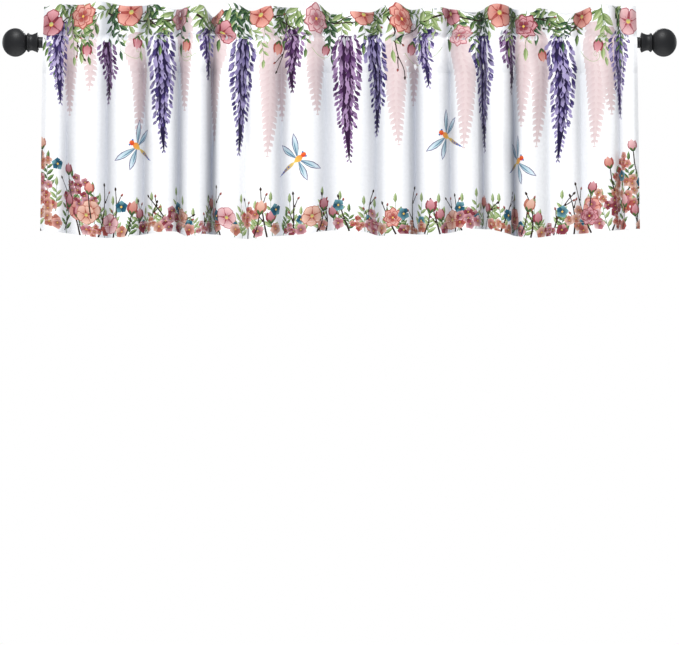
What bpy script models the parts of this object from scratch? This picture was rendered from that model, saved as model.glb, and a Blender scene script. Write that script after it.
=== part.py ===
"""A gathered window valance on a curtain rod with ball finials.

Metres, +Z up. The origin is on the rod's axis, halfway along it. The rod runs along X, the
front of the cloth faces -Y, and the wall would be on the +Y side.

The cloth is one sheet. It starts at its foot, runs up the front, folds over at the top and
comes down the back as far as the pocket seam. Between the header seam and the pocket seam its
two layers part to let the rod through. FOLDS says where its folds stand and how deep they are,
and TOP_EDGE and FOOT_EDGE give its uneven outline.
"""

import math
from collections import namedtuple

import bmesh
import bpy
import numpy as np
from mathutils import Matrix, Vector

MM = 0.001
GAP = 0.3 * MM

# The rod and its finials
ROD_RADIUS = 11.1 * MM
ROD_WALL = 1.0 * MM
ROD_HALF = 604.0 * MM
NECK_LENGTH = 25.4 * MM
NECK_SEAT_RADIUS = 14.6 * MM
NECK_EDGE = 1.2 * MM
WAIST_RADIUS = 16.2 * MM
BEAD_RADIUS = 18.8 * MM
BEAD_ROUND = 1.7 * MM
BEAD_HEIGHT = 21.2 * MM
RIM_RADIUS = 19.6 * MM
RIM_WIDTH = 2.9 * MM
COVE_WIDTH = 2.8 * MM
PLUG_LENGTH = 28.0 * MM
PLUG_BEVEL = 1.0 * MM
STUD_RADIUS = 4.0 * MM
STUD_LENGTH = 11.0 * MM
BALL_RADIUS = 28.7 * MM
BALL_HALF_WIDTH = 26.4 * MM
BALL_CENTRE = 651.5 * MM
ROUND_STEPS = 32
BALL_STEPS = 18

# The cloth as it was cut and sewn
CLOTH_WIDTH = 1524.0 * MM
CLOTH_THICKNESS = 1.2 * MM
HEM_THICKNESS = 2.0 * MM
LAYER_GAP = 0.5 * MM
HEM_DEPTH = 25.0 * MM
SIDE_HEM = 12.0 * MM
TOP_HEIGHT = 69.0 * MM
FOOT_HEIGHT = -386.0 * MM
HEADER_SEAM = 13.6 * MM
POCKET_SEAM = -63.0 * MM
SEAM_ALLOWANCE = 9.0 * MM
POCKET_STRAIGHT = 22.0 * MM

# How a fold of a given depth shows at each height, as a share of that depth
CREST_SHARE = 0.45
VALLEY_SHARE = 0.55
SEAM_SHARE = 0.85
FRONT_ROD_SHARE = 0.52
BACK_ROD_SHARE = 0.7
ROD_TOUCH = 0.6 * MM
ROD_REACH = ROD_RADIUS + HEM_THICKNESS / 2 + ROD_TOUCH

# How far in front of the rod's axis the cloth's middle hangs, above the rod and below it
HEADER_PLANE = 14.0 * MM
PANEL_PLANE = 16.0 * MM
SEAM_BACKMOST = 5.0 * MM

# One row for each fold, left to right, in millimetres: where its valley and the crest to the
# right of it stand at the rod, the valley's depth half-way down, what share of it there is at
# the top and at the foot, and how sharply its walls curve (1 is a straight wall)
Fold = namedtuple("Fold", "valley crest depth top foot curve")
FOLDS = (
    Fold(-546, -506, 24, 1.0, 0.8, 2.1),
    Fold(-465, -435, 20, 1.1, 1.0, 2.1),
    Fold(-391, -357, 29, 1.1, 0.9, 2.2),
    Fold(-321, -294, 30, 1.1, 0.9, 2.2),
    Fold(-255, -224, 44, 1.0, 1.0, 2.4),
    Fold(-188, -156, 18, 1.2, 1.1, 2.1),
    Fold(-116, -73, 22, 1.2, 0.9, 2.1),
    Fold(-28, 17, 18, 1.2, 1.0, 2.0),
    Fold(73, 112, 25, 1.1, 0.9, 2.1),
    Fold(151, 184, 24, 1.1, 0.9, 2.1),
    Fold(221, 248, 24, 1.1, 0.9, 2.1),
    Fold(288, 318, 38, 0.9, 1.0, 2.4),
    Fold(350, 383, 39, 1.0, 1.0, 2.4),
    Fold(418, 447, 12, 1.4, 1.0, 2.0),
    Fold(483, 524, 20, 1.4, 0.6, 2.1),
    Fold(561, 583, 26, 1.1, 1.0, 2.1),
)
LEFT_EDGE = -597
LEFT_CREST = -576
RIGHT_EDGE = 600
EDGE_SHARE = 0.1
FOOT_SPREAD = 1.008
TOP_SPREAD = 0.995
FOLD_ROUND = 0.1

# The top edge's height above the rod's axis, in millimetres, where it peaks and dips
TopPoint = namedtuple("TopPoint", "x height")
TOP_EDGE = (
    TopPoint(-597, 69),
    TopPoint(-552, 75),
    TopPoint(-520, 73),
    TopPoint(-479, 80),
    TopPoint(-423, 70),
    TopPoint(-371, 74),
    TopPoint(-335, 64),
    TopPoint(-276, 73),
    TopPoint(-257, 50),
    TopPoint(-214, 77),
    TopPoint(-174, 61),
    TopPoint(-140, 71),
    TopPoint(-83, 67),
    TopPoint(-53, 80),
    TopPoint(-12, 55),
    TopPoint(28, 60),
    TopPoint(55, 58),
    TopPoint(112, 78),
    TopPoint(141, 64),
    TopPoint(195, 69),
    TopPoint(268, 58),
    TopPoint(314, 75),
    TopPoint(378, 60),
    TopPoint(405, 67),
    TopPoint(451, 53),
    TopPoint(526, 73),
    TopPoint(600, 70),
)

# The foot's drop below the rod's axis, in millimetres, where it is longest and shortest
FootPoint = namedtuple("FootPoint", "x drop")
FOOT_EDGE = (
    FootPoint(-600, 379),
    FootPoint(-461, 393),
    FootPoint(-332, 380),
    FootPoint(-300, 391),
    FootPoint(-272, 385),
    FootPoint(-180, 395),
    FootPoint(-105, 388),
    FootPoint(-11, 378),
    FootPoint(48, 381),
    FootPoint(84, 389),
    FootPoint(129, 385),
    FootPoint(180, 387),
    FootPoint(282, 375),
    FootPoint(387, 393),
    FootPoint(453, 386),
    FootPoint(604, 375),
)

# The search for how deep the folds must be to take up the cloth's width
LEAST_SCALE = 0.2
MOST_SCALE = 3.0
HALVINGS = 30

# How finely the cloth is cut into faces
FACETS_SHALLOW = 2
FACETS_DEEP = 3
DEEP_FOLD = 29.5 * MM
POCKET_HEIGHTS = (-46 * MM, -30 * MM, -13 * MM)
FRONT_ANGLE = 28
BACK_ANGLES = (22, 44, 66)
PANEL_ROWS = 3
HEADER_ROWS = 2


def clear_scene():
    for obj in list(bpy.data.objects):
        bpy.data.objects.remove(obj)


def material(name, colour, roughness, metallic=0.0):
    made = bpy.data.materials.new(name)
    made.use_nodes = True
    shader = made.node_tree.nodes["Principled BSDF"]
    shader.inputs["Base Color"].default_value = (*colour, 1.0)
    shader.inputs["Roughness"].default_value = roughness
    shader.inputs["Metallic"].default_value = metallic
    return made


def eased(xs, values, x):
    """Values at x, eased between the rows of a table so that each row is a peak or a dip."""
    xs = np.asarray(xs, float)
    values = np.asarray(values, float)
    row = np.clip(np.searchsorted(xs, x) - 1, 0, len(xs) - 2)
    share = np.clip((x - xs[row]) / (xs[row + 1] - xs[row]), 0, 1)
    share = 0.5 - 0.5 * np.cos(np.pi * share)
    return values[row] * (1 - share) + values[row + 1] * share


def fold_points():
    """Where the cloth turns: x, depth, top and foot shares, curve, and +1 crest, -1 valley or 0 edge."""
    points = [(LEFT_EDGE, FOLDS[0], FOLDS[0], 0), (LEFT_CREST, FOLDS[0], FOLDS[0], 1)]
    for here, after in zip(FOLDS, FOLDS[1:] + FOLDS[-1:]):
        points.append((here.valley, here, here, -1))
        points.append((here.crest, here, after, 1))
    points.append((RIGHT_EDGE, FOLDS[-1], FOLDS[-1], 0))
    rows = []
    for x, left, right, side in points:
        rows.append(
            (
                x * MM,
                (left.depth + right.depth) / 2 * MM,
                (left.top + right.top) / 2,
                (left.foot + right.foot) / 2,
                (left.curve + right.curve) / 2,
                side,
            )
        )
    return np.array(rows)


def wall(share, curve):
    """A fold's wall from its valley, 0, to its crest, 1: steep by the valley, flat at the crest."""
    round_end = math.hypot(1, FOLD_ROUND) - FOLD_ROUND
    share = (math.hypot(share, FOLD_ROUND) - FOLD_ROUND) / round_end
    return 1 - (1 - share) ** curve


def columns():
    """The fold wave at each column of faces: its x, depth, shares, and its height from -1 to 1."""
    points = fold_points()
    found = []
    for here, after in zip(points[:-1], points[1:]):
        valley = here if here[5] < after[5] else after
        deep = max(here[1], after[1]) > DEEP_FOLD
        facets = FACETS_DEEP if deep else FACETS_SHALLOW
        for step in range(facets):
            share = step / facets
            rise = wall(share if valley is here else 1 - share, valley[4])
            low = min(here[5], after[5])
            wave = low + abs(after[5] - here[5]) * rise
            blend = here * (1 - share) + after * share
            found.append((*blend[:4], wave))
    found.append((*points[-1][:4], points[-1][5]))
    return np.array(found)


COLUMNS = columns()
COLUMN_X, COLUMN_DEPTH, COLUMN_TOP, COLUMN_FOOT, COLUMN_WAVE = COLUMNS.T


def stand_out(shares):
    """How far each column stands towards the front: crests forward of the middle, valleys behind."""
    crest = CREST_SHARE * COLUMN_DEPTH * shares
    valley = VALLEY_SHARE * COLUMN_DEPTH * shares
    edge = EDGE_SHARE * COLUMN_DEPTH * shares
    forward = edge + (crest - edge) * np.clip(COLUMN_WAVE, 0, 1)
    behind = -edge + (valley + edge) * np.clip(-COLUMN_WAVE, 0, 1)
    return np.where(COLUMN_WAVE >= 0, forward, -behind)


def gathered(out, x):
    """Scales how far a row stands out until the row is as long as the cloth is wide."""
    low, high = LEAST_SCALE, MOST_SCALE
    for _ in range(HALVINGS):
        middle = (low + high) / 2
        length = np.hypot(np.diff(x), middle * np.diff(out)).sum()
        if length < CLOTH_WIDTH:
            low = middle
        else:
            high = middle
    return low * out


def row_x(height):
    """The columns' x at a height: the cloth is a little wider at its foot than at its top."""
    foot = np.clip(height / FOOT_HEIGHT, 0, 1)
    top = np.clip(height / TOP_HEIGHT, 0, 1)
    return COLUMN_X * (1 + (FOOT_SPREAD - 1) * foot + (TOP_SPREAD - 1) * top)


def outline_height(height, x):
    """A height on the even sheet, moved so that its top and foot follow the two edge tables."""
    if height > HEADER_SEAM:
        top = eased([p.x * MM for p in TOP_EDGE], [p.height * MM for p in TOP_EDGE], x)
        share = (height - HEADER_SEAM) / (TOP_HEIGHT - HEADER_SEAM)
        return HEADER_SEAM + share * (top - HEADER_SEAM)
    if height < POCKET_SEAM:
        foot = -eased([p.x * MM for p in FOOT_EDGE], [p.drop * MM for p in FOOT_EDGE], x)
        share = (height - POCKET_SEAM) / (FOOT_HEIGHT - POCKET_SEAM)
        return POCKET_SEAM + share * (foot - POCKET_SEAM)
    return np.full_like(x, height)


def middle_row(height):
    """The sheet's middle surface at one height where its layers lie together: a row of points."""
    x = row_x(height)
    plane = PANEL_PLANE
    if height >= HEADER_SEAM:
        plane = HEADER_PLANE
        rise = (height - HEADER_SEAM) / (TOP_HEIGHT - HEADER_SEAM)
        share = SEAM_SHARE + (COLUMN_TOP - SEAM_SHARE) * rise
    else:
        middle = (POCKET_SEAM + FOOT_HEIGHT) / 2
        above = np.clip((height - middle) / (POCKET_SEAM - middle), 0, 1)
        below = np.clip((middle - height) / (middle - FOOT_HEIGHT), 0, 1)
        share = 1 + (COLUMN_TOP - 1) * above + (COLUMN_FOOT - 1) * below
    out = gathered(stand_out(share), x)
    if height == HEADER_SEAM:
        out = np.maximum(out, SEAM_BACKMOST - plane)
    return np.stack([x, -plane - out, outline_height(height, x)], axis=1)


def facing(rows):
    """Unit vectors square to the surface that the rows of points span, pointing to the back."""
    along = np.gradient(rows, axis=1)
    up = np.gradient(rows, axis=0)
    square = np.cross(up, along)
    square /= np.linalg.norm(square, axis=2, keepdims=True)
    return square * np.where(square[..., 1:2] < 0, -1, 1)


def layers(heights):
    """The front and the back layer of the sheet over heights where they lie together."""
    middle = np.array([middle_row(height) for height in heights])
    apart = facing(middle) * (CLOTH_THICKNESS + LAYER_GAP) / 2
    return middle - apart, middle + apart


def beside_rod(side):
    """The pocket wall at the rod's own height: -1 is the front wall, +1 the back wall."""
    x = row_x(0.0)
    wave = stand_out(np.ones_like(x))
    if side < 0:
        stand = FRONT_ROD_SHARE * (wave + VALLEY_SHARE * COLUMN_DEPTH)
    else:
        stand = BACK_ROD_SHARE * (CREST_SHARE * COLUMN_DEPTH - wave)
    return np.stack([x, side * (ROD_REACH + stand), np.zeros_like(x)], axis=1)


def under_rod(outer, pocket_seam):
    """The rows of a pocket wall from the pocket seam up to the rod."""
    rows = []
    for height in POCKET_HEIGHTS:
        share = np.clip((height - POCKET_SEAM) / (-POCKET_STRAIGHT - POCKET_SEAM), 0, 1)
        share = 0.5 - 0.5 * math.cos(math.pi * share)
        row = pocket_seam * (1 - share) + outer * share
        row[:, 2] = height
        rows.append(row)
    return rows


def round_rod(outer, degrees):
    """A row of a pocket wall that follows the rod round, at an angle up from the rod's own height."""
    angle = math.radians(degrees)
    side = np.sign(outer[:, 1])
    stand = np.abs(outer[:, 1]) - ROD_REACH
    out = ROD_REACH * math.cos(angle) + stand * math.cos(angle) ** 2
    return np.stack([outer[:, 0], side * out, np.full_like(out, ROD_REACH * math.sin(angle))], axis=1)


def front_wall(pocket_seam):
    outer = beside_rod(-1)
    return [*under_rod(outer, pocket_seam), outer, round_rod(outer, FRONT_ANGLE)]


def back_wall(header_seam, pocket_seam):
    outer = beside_rod(1)
    over = round_rod(outer, 90)
    rows = [*under_rod(outer, pocket_seam), outer]
    rows += [round_rod(outer, degrees) for degrees in BACK_ANGLES]
    return [*rows, over, (over + header_seam) / 2]


def sheet_rows():
    """The whole sheet as rows of points, from its foot up the front and down the back to its end."""
    panel = list(np.linspace(FOOT_HEIGHT + HEM_DEPTH, POCKET_SEAM, PANEL_ROWS + 1)[:-1])
    low_heights = [FOOT_HEIGHT, *panel, POCKET_SEAM - SEAM_ALLOWANCE, POCKET_SEAM]
    low_front, low_back = layers(low_heights)
    header = list(np.linspace(HEADER_SEAM, TOP_HEIGHT, HEADER_ROWS + 2))
    high_front, high_back = layers(header)
    fold = (high_front[-1] + high_back[-1]) / 2
    fold[:, 2] += (CLOTH_THICKNESS + LAYER_GAP) / 2
    rows = list(low_front)
    rows += front_wall(low_front[-1])
    rows += list(high_front)
    rows.append(fold)
    rows += list(high_back[::-1])
    rows += back_wall(high_back[0], low_back[-1])[::-1]
    return [*rows, low_back[-1], low_back[-2]]


def hem_weight(row, column):
    """1 where the cloth is turned in on itself at the foot and the sides, else 0."""
    edge = min(COLUMN_X[column] - COLUMN_X[0], COLUMN_X[-1] - COLUMN_X[column])
    return 1.0 if row < 2 or edge < SIDE_HEM else 0.0


def make_cloth(cloth_material):
    rows = sheet_rows()
    mesh = bmesh.new()
    grid = [[mesh.verts.new(point) for point in row] for row in rows]
    for low, high in zip(grid[:-1], grid[1:]):
        for left in range(len(low) - 1):
            mesh.faces.new((low[left], low[left + 1], high[left + 1], high[left]))
    data = bpy.data.meshes.new("valance_cloth")
    mesh.to_mesh(data)
    mesh.free()
    data.shade_smooth()
    data.materials.append(cloth_material)
    cloth = bpy.data.objects.new("valance_cloth", data)
    bpy.context.scene.collection.objects.link(cloth)
    hem = cloth.vertex_groups.new(name="hem")
    width = len(rows[0])
    for row in range(len(rows)):
        for column in range(width):
            hem.add([row * width + column], hem_weight(row, column), "REPLACE")
    solid = cloth.modifiers.new("thickness", "SOLIDIFY")
    solid.thickness = HEM_THICKNESS
    solid.offset = 0
    solid.vertex_group = "hem"
    solid.thickness_vertex_group = CLOTH_THICKNESS / HEM_THICKNESS
    return cloth


def turned(name, profile, closed, piece_material):
    """A piece turned about its own Z, from a profile of (radius, height) points that runs downwards."""
    mesh = bmesh.new()
    points = [mesh.verts.new((radius, 0, height)) for radius, height in profile]
    for start, end in zip(points[:-1], points[1:]):
        mesh.edges.new((start, end))
    if closed:
        mesh.edges.new((points[-1], points[0]))
    data = bpy.data.meshes.new(name)
    mesh.to_mesh(data)
    mesh.free()
    data.materials.append(piece_material)
    piece = bpy.data.objects.new(name, data)
    bpy.context.scene.collection.objects.link(piece)
    screw = piece.modifiers.new("turning", "SCREW")
    screw.steps = ROUND_STEPS
    screw.render_steps = ROUND_STEPS
    screw.use_merge_vertices = True
    screw.merge_threshold = 0.00001
    screw.use_smooth_shade = True
    return piece


def lay_along_rod(piece, x, side):
    """Turns a piece's +Z to point along X, outwards on its side, and moves its origin to x."""
    turn = Matrix.Rotation(side * math.pi / 2, 4, "Y")
    piece.matrix_world = Matrix.Translation(Vector((side * x, 0, 0))) @ turn


def make_rod(metal):
    inner = ROD_RADIUS - ROD_WALL
    profile = (
        (inner, ROD_HALF),
        (ROD_RADIUS, ROD_HALF),
        (ROD_RADIUS, -ROD_HALF),
        (inner, -ROD_HALF),
    )
    rod = turned("curtain_rod", profile, True, metal)
    lay_along_rod(rod, 0.0, 1)


def arc(centre, radii, start, end, steps):
    """Points (radius, height) on an ellipse's arc, by angles in degrees from +radius towards +height."""
    angles = np.radians(np.linspace(start, end, steps + 1))
    return [
        (centre[0] + radii[0] * math.cos(angle), centre[1] + radii[1] * math.sin(angle))
        for angle in angles
    ]


def neck_profile():
    """The neck from its stud's end down to its plug's end, with the rod's end at height 0."""
    plug = ROD_RADIUS - ROD_WALL - GAP
    bead = (BEAD_RADIUS - BEAD_ROUND, BEAD_HEIGHT)
    waist_top = BEAD_HEIGHT - BEAD_ROUND
    waist_foot = RIM_WIDTH + COVE_WIDTH
    hollow = (RIM_RADIUS, (waist_foot + waist_top) / 2)
    dip = (RIM_RADIUS - WAIST_RADIUS, (waist_top - waist_foot) / 2)
    return [
        (0, NECK_LENGTH + STUD_LENGTH),
        (STUD_RADIUS, NECK_LENGTH + STUD_LENGTH),
        (STUD_RADIUS, NECK_LENGTH),
        (NECK_SEAT_RADIUS, NECK_LENGTH),
        (WAIST_RADIUS, NECK_LENGTH - NECK_EDGE),
        *arc(bead, (BEAD_ROUND, BEAD_ROUND), 70, -70, 4),
        *arc(hollow, dip, 130, 200, 4),
        (WAIST_RADIUS + NECK_EDGE, waist_foot - NECK_EDGE),
        (RIM_RADIUS, RIM_WIDTH),
        (RIM_RADIUS, GAP + NECK_EDGE),
        (RIM_RADIUS - NECK_EDGE, GAP),
        (plug, GAP),
        (plug, PLUG_BEVEL - PLUG_LENGTH),
        (plug - PLUG_BEVEL, -PLUG_LENGTH),
        (0, -PLUG_LENGTH),
    ]


def make_neck(name, side, metal):
    neck = turned(name, neck_profile(), False, metal)
    lay_along_rod(neck, ROD_HALF, side)


def make_ball(name, side, metal):
    """A slightly flattened ball, cut flat where it sits on the neck, with a socket for the stud."""
    seat = ROD_HALF + NECK_LENGTH + GAP - BALL_CENTRE
    cut = math.degrees(math.asin(seat / BALL_HALF_WIDTH))
    socket = STUD_RADIUS + GAP
    outline = arc((0, 0), (BALL_RADIUS, BALL_HALF_WIDTH), 90, cut, BALL_STEPS)
    outline += [(socket, seat), (socket, seat + STUD_LENGTH), (0, seat + STUD_LENGTH)]
    ball = turned(name, outline, False, metal)
    lay_along_rod(ball, BALL_CENTRE, side)


def main():
    clear_scene()
    cloth = material("printed_cloth", (0.86, 0.86, 0.88), 0.85)
    tube = material("rod_metal", (0.03, 0.03, 0.032), 0.4, 1.0)
    satin = material("finial_metal", (0.02, 0.02, 0.021), 0.42, 0.3)
    make_cloth(cloth)
    make_rod(tube)
    for name, side in (("left", -1), ("right", 1)):
        make_neck("finial_neck_" + name, side, satin)
        make_ball("finial_ball_" + name, side, satin)


main()
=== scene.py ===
"""The looks of a gathered window valance on its rod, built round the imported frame.

The frame is in metres with its origin on the rod's axis. The cloth is worked out in millimetres:
u runs across the flat cloth from its left edge, v runs up the front from its foot, over the top
and down the back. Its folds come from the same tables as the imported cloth.
"""

import math
import random
from collections import namedtuple

import bmesh
import bpy
import numpy as np
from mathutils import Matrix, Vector
from mathutils.kdtree import KDTree
from mathutils.geometry import delaunay_2d_cdt


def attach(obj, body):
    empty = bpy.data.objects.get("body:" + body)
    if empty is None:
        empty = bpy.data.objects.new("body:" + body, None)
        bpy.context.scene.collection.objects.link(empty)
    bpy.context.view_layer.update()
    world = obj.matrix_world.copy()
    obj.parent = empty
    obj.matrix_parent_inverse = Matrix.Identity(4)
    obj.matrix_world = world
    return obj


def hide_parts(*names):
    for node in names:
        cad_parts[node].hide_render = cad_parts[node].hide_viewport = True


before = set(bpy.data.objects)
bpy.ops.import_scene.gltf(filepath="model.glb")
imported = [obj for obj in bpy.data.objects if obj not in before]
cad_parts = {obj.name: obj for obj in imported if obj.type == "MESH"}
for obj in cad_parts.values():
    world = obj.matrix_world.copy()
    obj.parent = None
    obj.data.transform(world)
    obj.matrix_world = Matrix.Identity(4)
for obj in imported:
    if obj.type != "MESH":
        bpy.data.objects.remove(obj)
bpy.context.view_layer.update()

MM = 0.001

# The camera: level, below the rod, and far away, because the photograph has almost no perspective
PHOTO_WIDTH = 679
PHOTO_HEIGHT = 645
MM_PER_PIXEL = 2.01
ROD_PIXEL = 42.5
CAMERA_DISTANCE = 8.0
SENSOR = 36.0

# The cloth as it was cut and sewn, in millimetres
CLOTH_WIDTH = 1524.0
SHEET_THICKNESS = 1.2
EDGE_THICKNESS = 0.6
CAD_THICKNESS = 1.2
CAD_HEM_THICKNESS = 2.0
LAYER_GAP = 0.5
HEM_DEPTH = 25.0
SIDE_HEM = 12.0
TOP_HEIGHT = 69.0
FOOT_HEIGHT = -386.0
HEADER_SEAM = 13.6
POCKET_SEAM = -63.0
SEAM_ALLOWANCE = 9.0
POCKET_STRAIGHT = 22.0
ROD_RADIUS = 11.1

# How a fold of a given depth shows at each height, as a share of that depth
CREST_SHARE = 0.45
VALLEY_SHARE = 0.55
SEAM_SHARE = 0.85
FRONT_ROD_SHARE = 0.52
BACK_ROD_SHARE = 0.7
ROD_TOUCH = 0.6
ROD_REACH = ROD_RADIUS + CAD_HEM_THICKNESS / 2 + ROD_TOUCH
HEADER_PLANE = 14.0
PANEL_PLANE = 16.0
SEAM_BACKMOST = 5.0

# One row for each fold: where its valley and the crest to the right of it stand at the rod, the
# valley's depth half-way down, what share of it there is at the top and at the foot, and how
# sharply its walls curve
Fold = namedtuple("Fold", "valley crest depth top foot curve")
FOLDS = (
    Fold(-546, -506, 24, 1.0, 0.8, 2.1),
    Fold(-465, -435, 20, 1.1, 1.0, 2.1),
    Fold(-391, -357, 29, 1.1, 0.9, 2.2),
    Fold(-321, -294, 30, 1.1, 0.9, 2.2),
    Fold(-255, -224, 44, 1.0, 1.0, 2.4),
    Fold(-188, -156, 18, 1.2, 1.1, 2.1),
    Fold(-116, -73, 22, 1.2, 0.9, 2.1),
    Fold(-28, 17, 18, 1.2, 1.0, 2.0),
    Fold(73, 112, 25, 1.1, 0.9, 2.1),
    Fold(151, 184, 24, 1.1, 0.9, 2.1),
    Fold(221, 248, 24, 1.1, 0.9, 2.1),
    Fold(288, 318, 38, 0.9, 1.0, 2.4),
    Fold(350, 383, 39, 1.0, 1.0, 2.4),
    Fold(418, 447, 12, 1.4, 1.0, 2.0),
    Fold(483, 524, 20, 1.4, 0.6, 2.1),
    Fold(561, 583, 26, 1.1, 1.0, 2.1),
)
LEFT_EDGE = -595
LEFT_CREST = -576
RIGHT_EDGE = 597
EDGE_SHARE = 0.1
FOOT_SPREAD = 1.008
TOP_SPREAD = 0.995
FOLD_ROUND = 0.1

# The top edge's height above the rod's axis where it peaks and dips, and the foot's drop
TOP_EDGE = (
    (-597, 69), (-552, 75), (-520, 73), (-479, 80), (-423, 70), (-371, 74), (-335, 64),
    (-276, 73), (-257, 50), (-214, 77), (-174, 61), (-140, 71), (-83, 67), (-53, 80),
    (-12, 55), (28, 60), (55, 58), (112, 78), (141, 64), (195, 69), (268, 58), (314, 75),
    (378, 60), (405, 67), (451, 53), (526, 73), (600, 70),
)
FOOT_EDGE = (
    (-600, 379), (-461, 393), (-332, 380), (-300, 391), (-272, 385), (-180, 395), (-105, 388),
    (-11, 378), (48, 381), (84, 389), (129, 385), (180, 387), (282, 375), (387, 393),
    (453, 386), (604, 375),
)

# How finely the folds are worked out, and the search for the scale that gathers a row to its length
LEAST_SCALE = 0.2
MOST_SCALE = 3.0
HALVINGS = 30
FOLD_STEPS = 16
U_STEP = 2.0
V_STEP = 2.5


def eased(table, x):
    """Values at x, eased between the rows of a table so that each row is a peak or a dip."""
    xs = np.array([row[0] for row in table], float)
    values = np.array([row[1] for row in table], float)
    row = np.clip(np.searchsorted(xs, x) - 1, 0, len(xs) - 2)
    share = np.clip((x - xs[row]) / (xs[row + 1] - xs[row]), 0, 1)
    share = 0.5 - 0.5 * np.cos(np.pi * share)
    return values[row] * (1 - share) + values[row + 1] * share


def fold_points():
    """Where the cloth turns: x, depth, top and foot shares, curve, and +1 crest, -1 valley or 0 edge."""
    points = [(LEFT_EDGE, FOLDS[0], FOLDS[0], 0), (LEFT_CREST, FOLDS[0], FOLDS[0], 1)]
    for here, after in zip(FOLDS, FOLDS[1:] + FOLDS[-1:]):
        points.append((here.valley, here, here, -1))
        points.append((here.crest, here, after, 1))
    points.append((RIGHT_EDGE, FOLDS[-1], FOLDS[-1], 0))
    rows = []
    for x, left, right, side in points:
        shares = [(getattr(left, word) + getattr(right, word)) / 2 for word in Fold._fields[2:]]
        rows.append((x, *shares, side))
    return np.array(rows, float)


def wall(share, curve):
    """A fold's wall from its valley, 0, to its crest, 1: steep by the valley, flat at the crest."""
    round_end = math.hypot(1, FOLD_ROUND) - FOLD_ROUND
    share = (np.hypot(share, FOLD_ROUND) - FOLD_ROUND) / round_end
    return 1 - (1 - share) ** curve


def columns():
    """The fold wave at each column: its x, depth, shares, and its height from -1 to 1."""
    points = fold_points()
    found = []
    for here, after in zip(points[:-1], points[1:]):
        valley = here if here[5] < after[5] else after
        for step in range(FOLD_STEPS):
            share = step / FOLD_STEPS
            rise = wall(share if valley is here else 1 - share, valley[4])
            low = min(here[5], after[5])
            wave = low + abs(after[5] - here[5]) * rise
            blend = here * (1 - share) + after * share
            found.append((*blend[:4], wave))
    found.append((*points[-1][:4], points[-1][5]))
    return np.array(found)


COLUMN_X, COLUMN_DEPTH, COLUMN_TOP, COLUMN_FOOT, COLUMN_WAVE = columns().T


def stand_out(shares):
    """How far each column stands towards the front: crests forward of the middle, valleys behind."""
    crest = CREST_SHARE * COLUMN_DEPTH * shares
    valley = VALLEY_SHARE * COLUMN_DEPTH * shares
    edge = EDGE_SHARE * COLUMN_DEPTH * shares
    forward = edge + (crest - edge) * np.clip(COLUMN_WAVE, 0, 1)
    behind = -edge + (valley + edge) * np.clip(-COLUMN_WAVE, 0, 1)
    return np.where(COLUMN_WAVE >= 0, forward, -behind)


def gathered(out, x):
    """Scales how far a row stands out until the row is as long as the cloth is wide."""
    low, high = LEAST_SCALE, MOST_SCALE
    for _ in range(HALVINGS):
        middle = (low + high) / 2
        length = np.hypot(np.diff(x), middle * np.diff(out)).sum()
        if length < CLOTH_WIDTH:
            low = middle
        else:
            high = middle
    return low * out


def row_x(height):
    """The columns' x at a height: the cloth is a little wider at its foot than at its top."""
    foot = np.clip(height / FOOT_HEIGHT, 0, 1)
    top = np.clip(height / TOP_HEIGHT, 0, 1)
    return COLUMN_X * (1 + (FOOT_SPREAD - 1) * foot + (TOP_SPREAD - 1) * top)


def outline_height(height, x):
    """A height on the even sheet, moved so that its top and foot follow the two edge tables."""
    if height > HEADER_SEAM:
        share = (height - HEADER_SEAM) / (TOP_HEIGHT - HEADER_SEAM)
        return HEADER_SEAM + share * (eased(TOP_EDGE, x) - HEADER_SEAM)
    if height < POCKET_SEAM:
        share = (height - POCKET_SEAM) / (FOOT_HEIGHT - POCKET_SEAM)
        return POCKET_SEAM + share * (-eased(FOOT_EDGE, x) - POCKET_SEAM)
    return np.full_like(x, height)


def middle_row(height):
    """The sheet's middle surface at one height where its layers lie together: a row of points."""
    x = row_x(height)
    plane = PANEL_PLANE
    if height >= HEADER_SEAM:
        plane = HEADER_PLANE
        rise = (height - HEADER_SEAM) / (TOP_HEIGHT - HEADER_SEAM)
        share = SEAM_SHARE + (COLUMN_TOP - SEAM_SHARE) * rise
    else:
        middle = (POCKET_SEAM + FOOT_HEIGHT) / 2
        above = np.clip((height - middle) / (POCKET_SEAM - middle), 0, 1)
        below = np.clip((middle - height) / (middle - FOOT_HEIGHT), 0, 1)
        share = 1 + (COLUMN_TOP - 1) * above + (COLUMN_FOOT - 1) * below
    out = gathered(stand_out(share), x)
    if height == HEADER_SEAM:
        out = np.maximum(out, SEAM_BACKMOST - plane)
    return np.stack([x, -plane - out, outline_height(height, x)], axis=1)


def facing(rows):
    """Unit vectors square to the surface that the rows of points span, pointing to the back."""
    along = np.gradient(rows, axis=1)
    up = np.gradient(rows, axis=0)
    square = np.cross(up, along)
    square /= np.linalg.norm(square, axis=2, keepdims=True)
    return square * np.where(square[..., 1:2] < 0, -1, 1)


def layers(heights):
    """The front and the back layer of the sheet over heights where they lie together."""
    middle = np.array([middle_row(height) for height in heights])
    apart = facing(middle) * (CAD_THICKNESS + LAYER_GAP) / 2
    return middle - apart, middle + apart


def beside_rod(side):
    """The pocket wall at the rod's own height: -1 is the front wall, +1 the back wall."""
    x = row_x(0.0)
    wave = stand_out(np.ones_like(x))
    if side < 0:
        stand = FRONT_ROD_SHARE * (wave + VALLEY_SHARE * COLUMN_DEPTH)
    else:
        stand = BACK_ROD_SHARE * (CREST_SHARE * COLUMN_DEPTH - wave)
    return np.stack([x, side * (ROD_REACH + stand), np.zeros_like(x)], axis=1)


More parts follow.
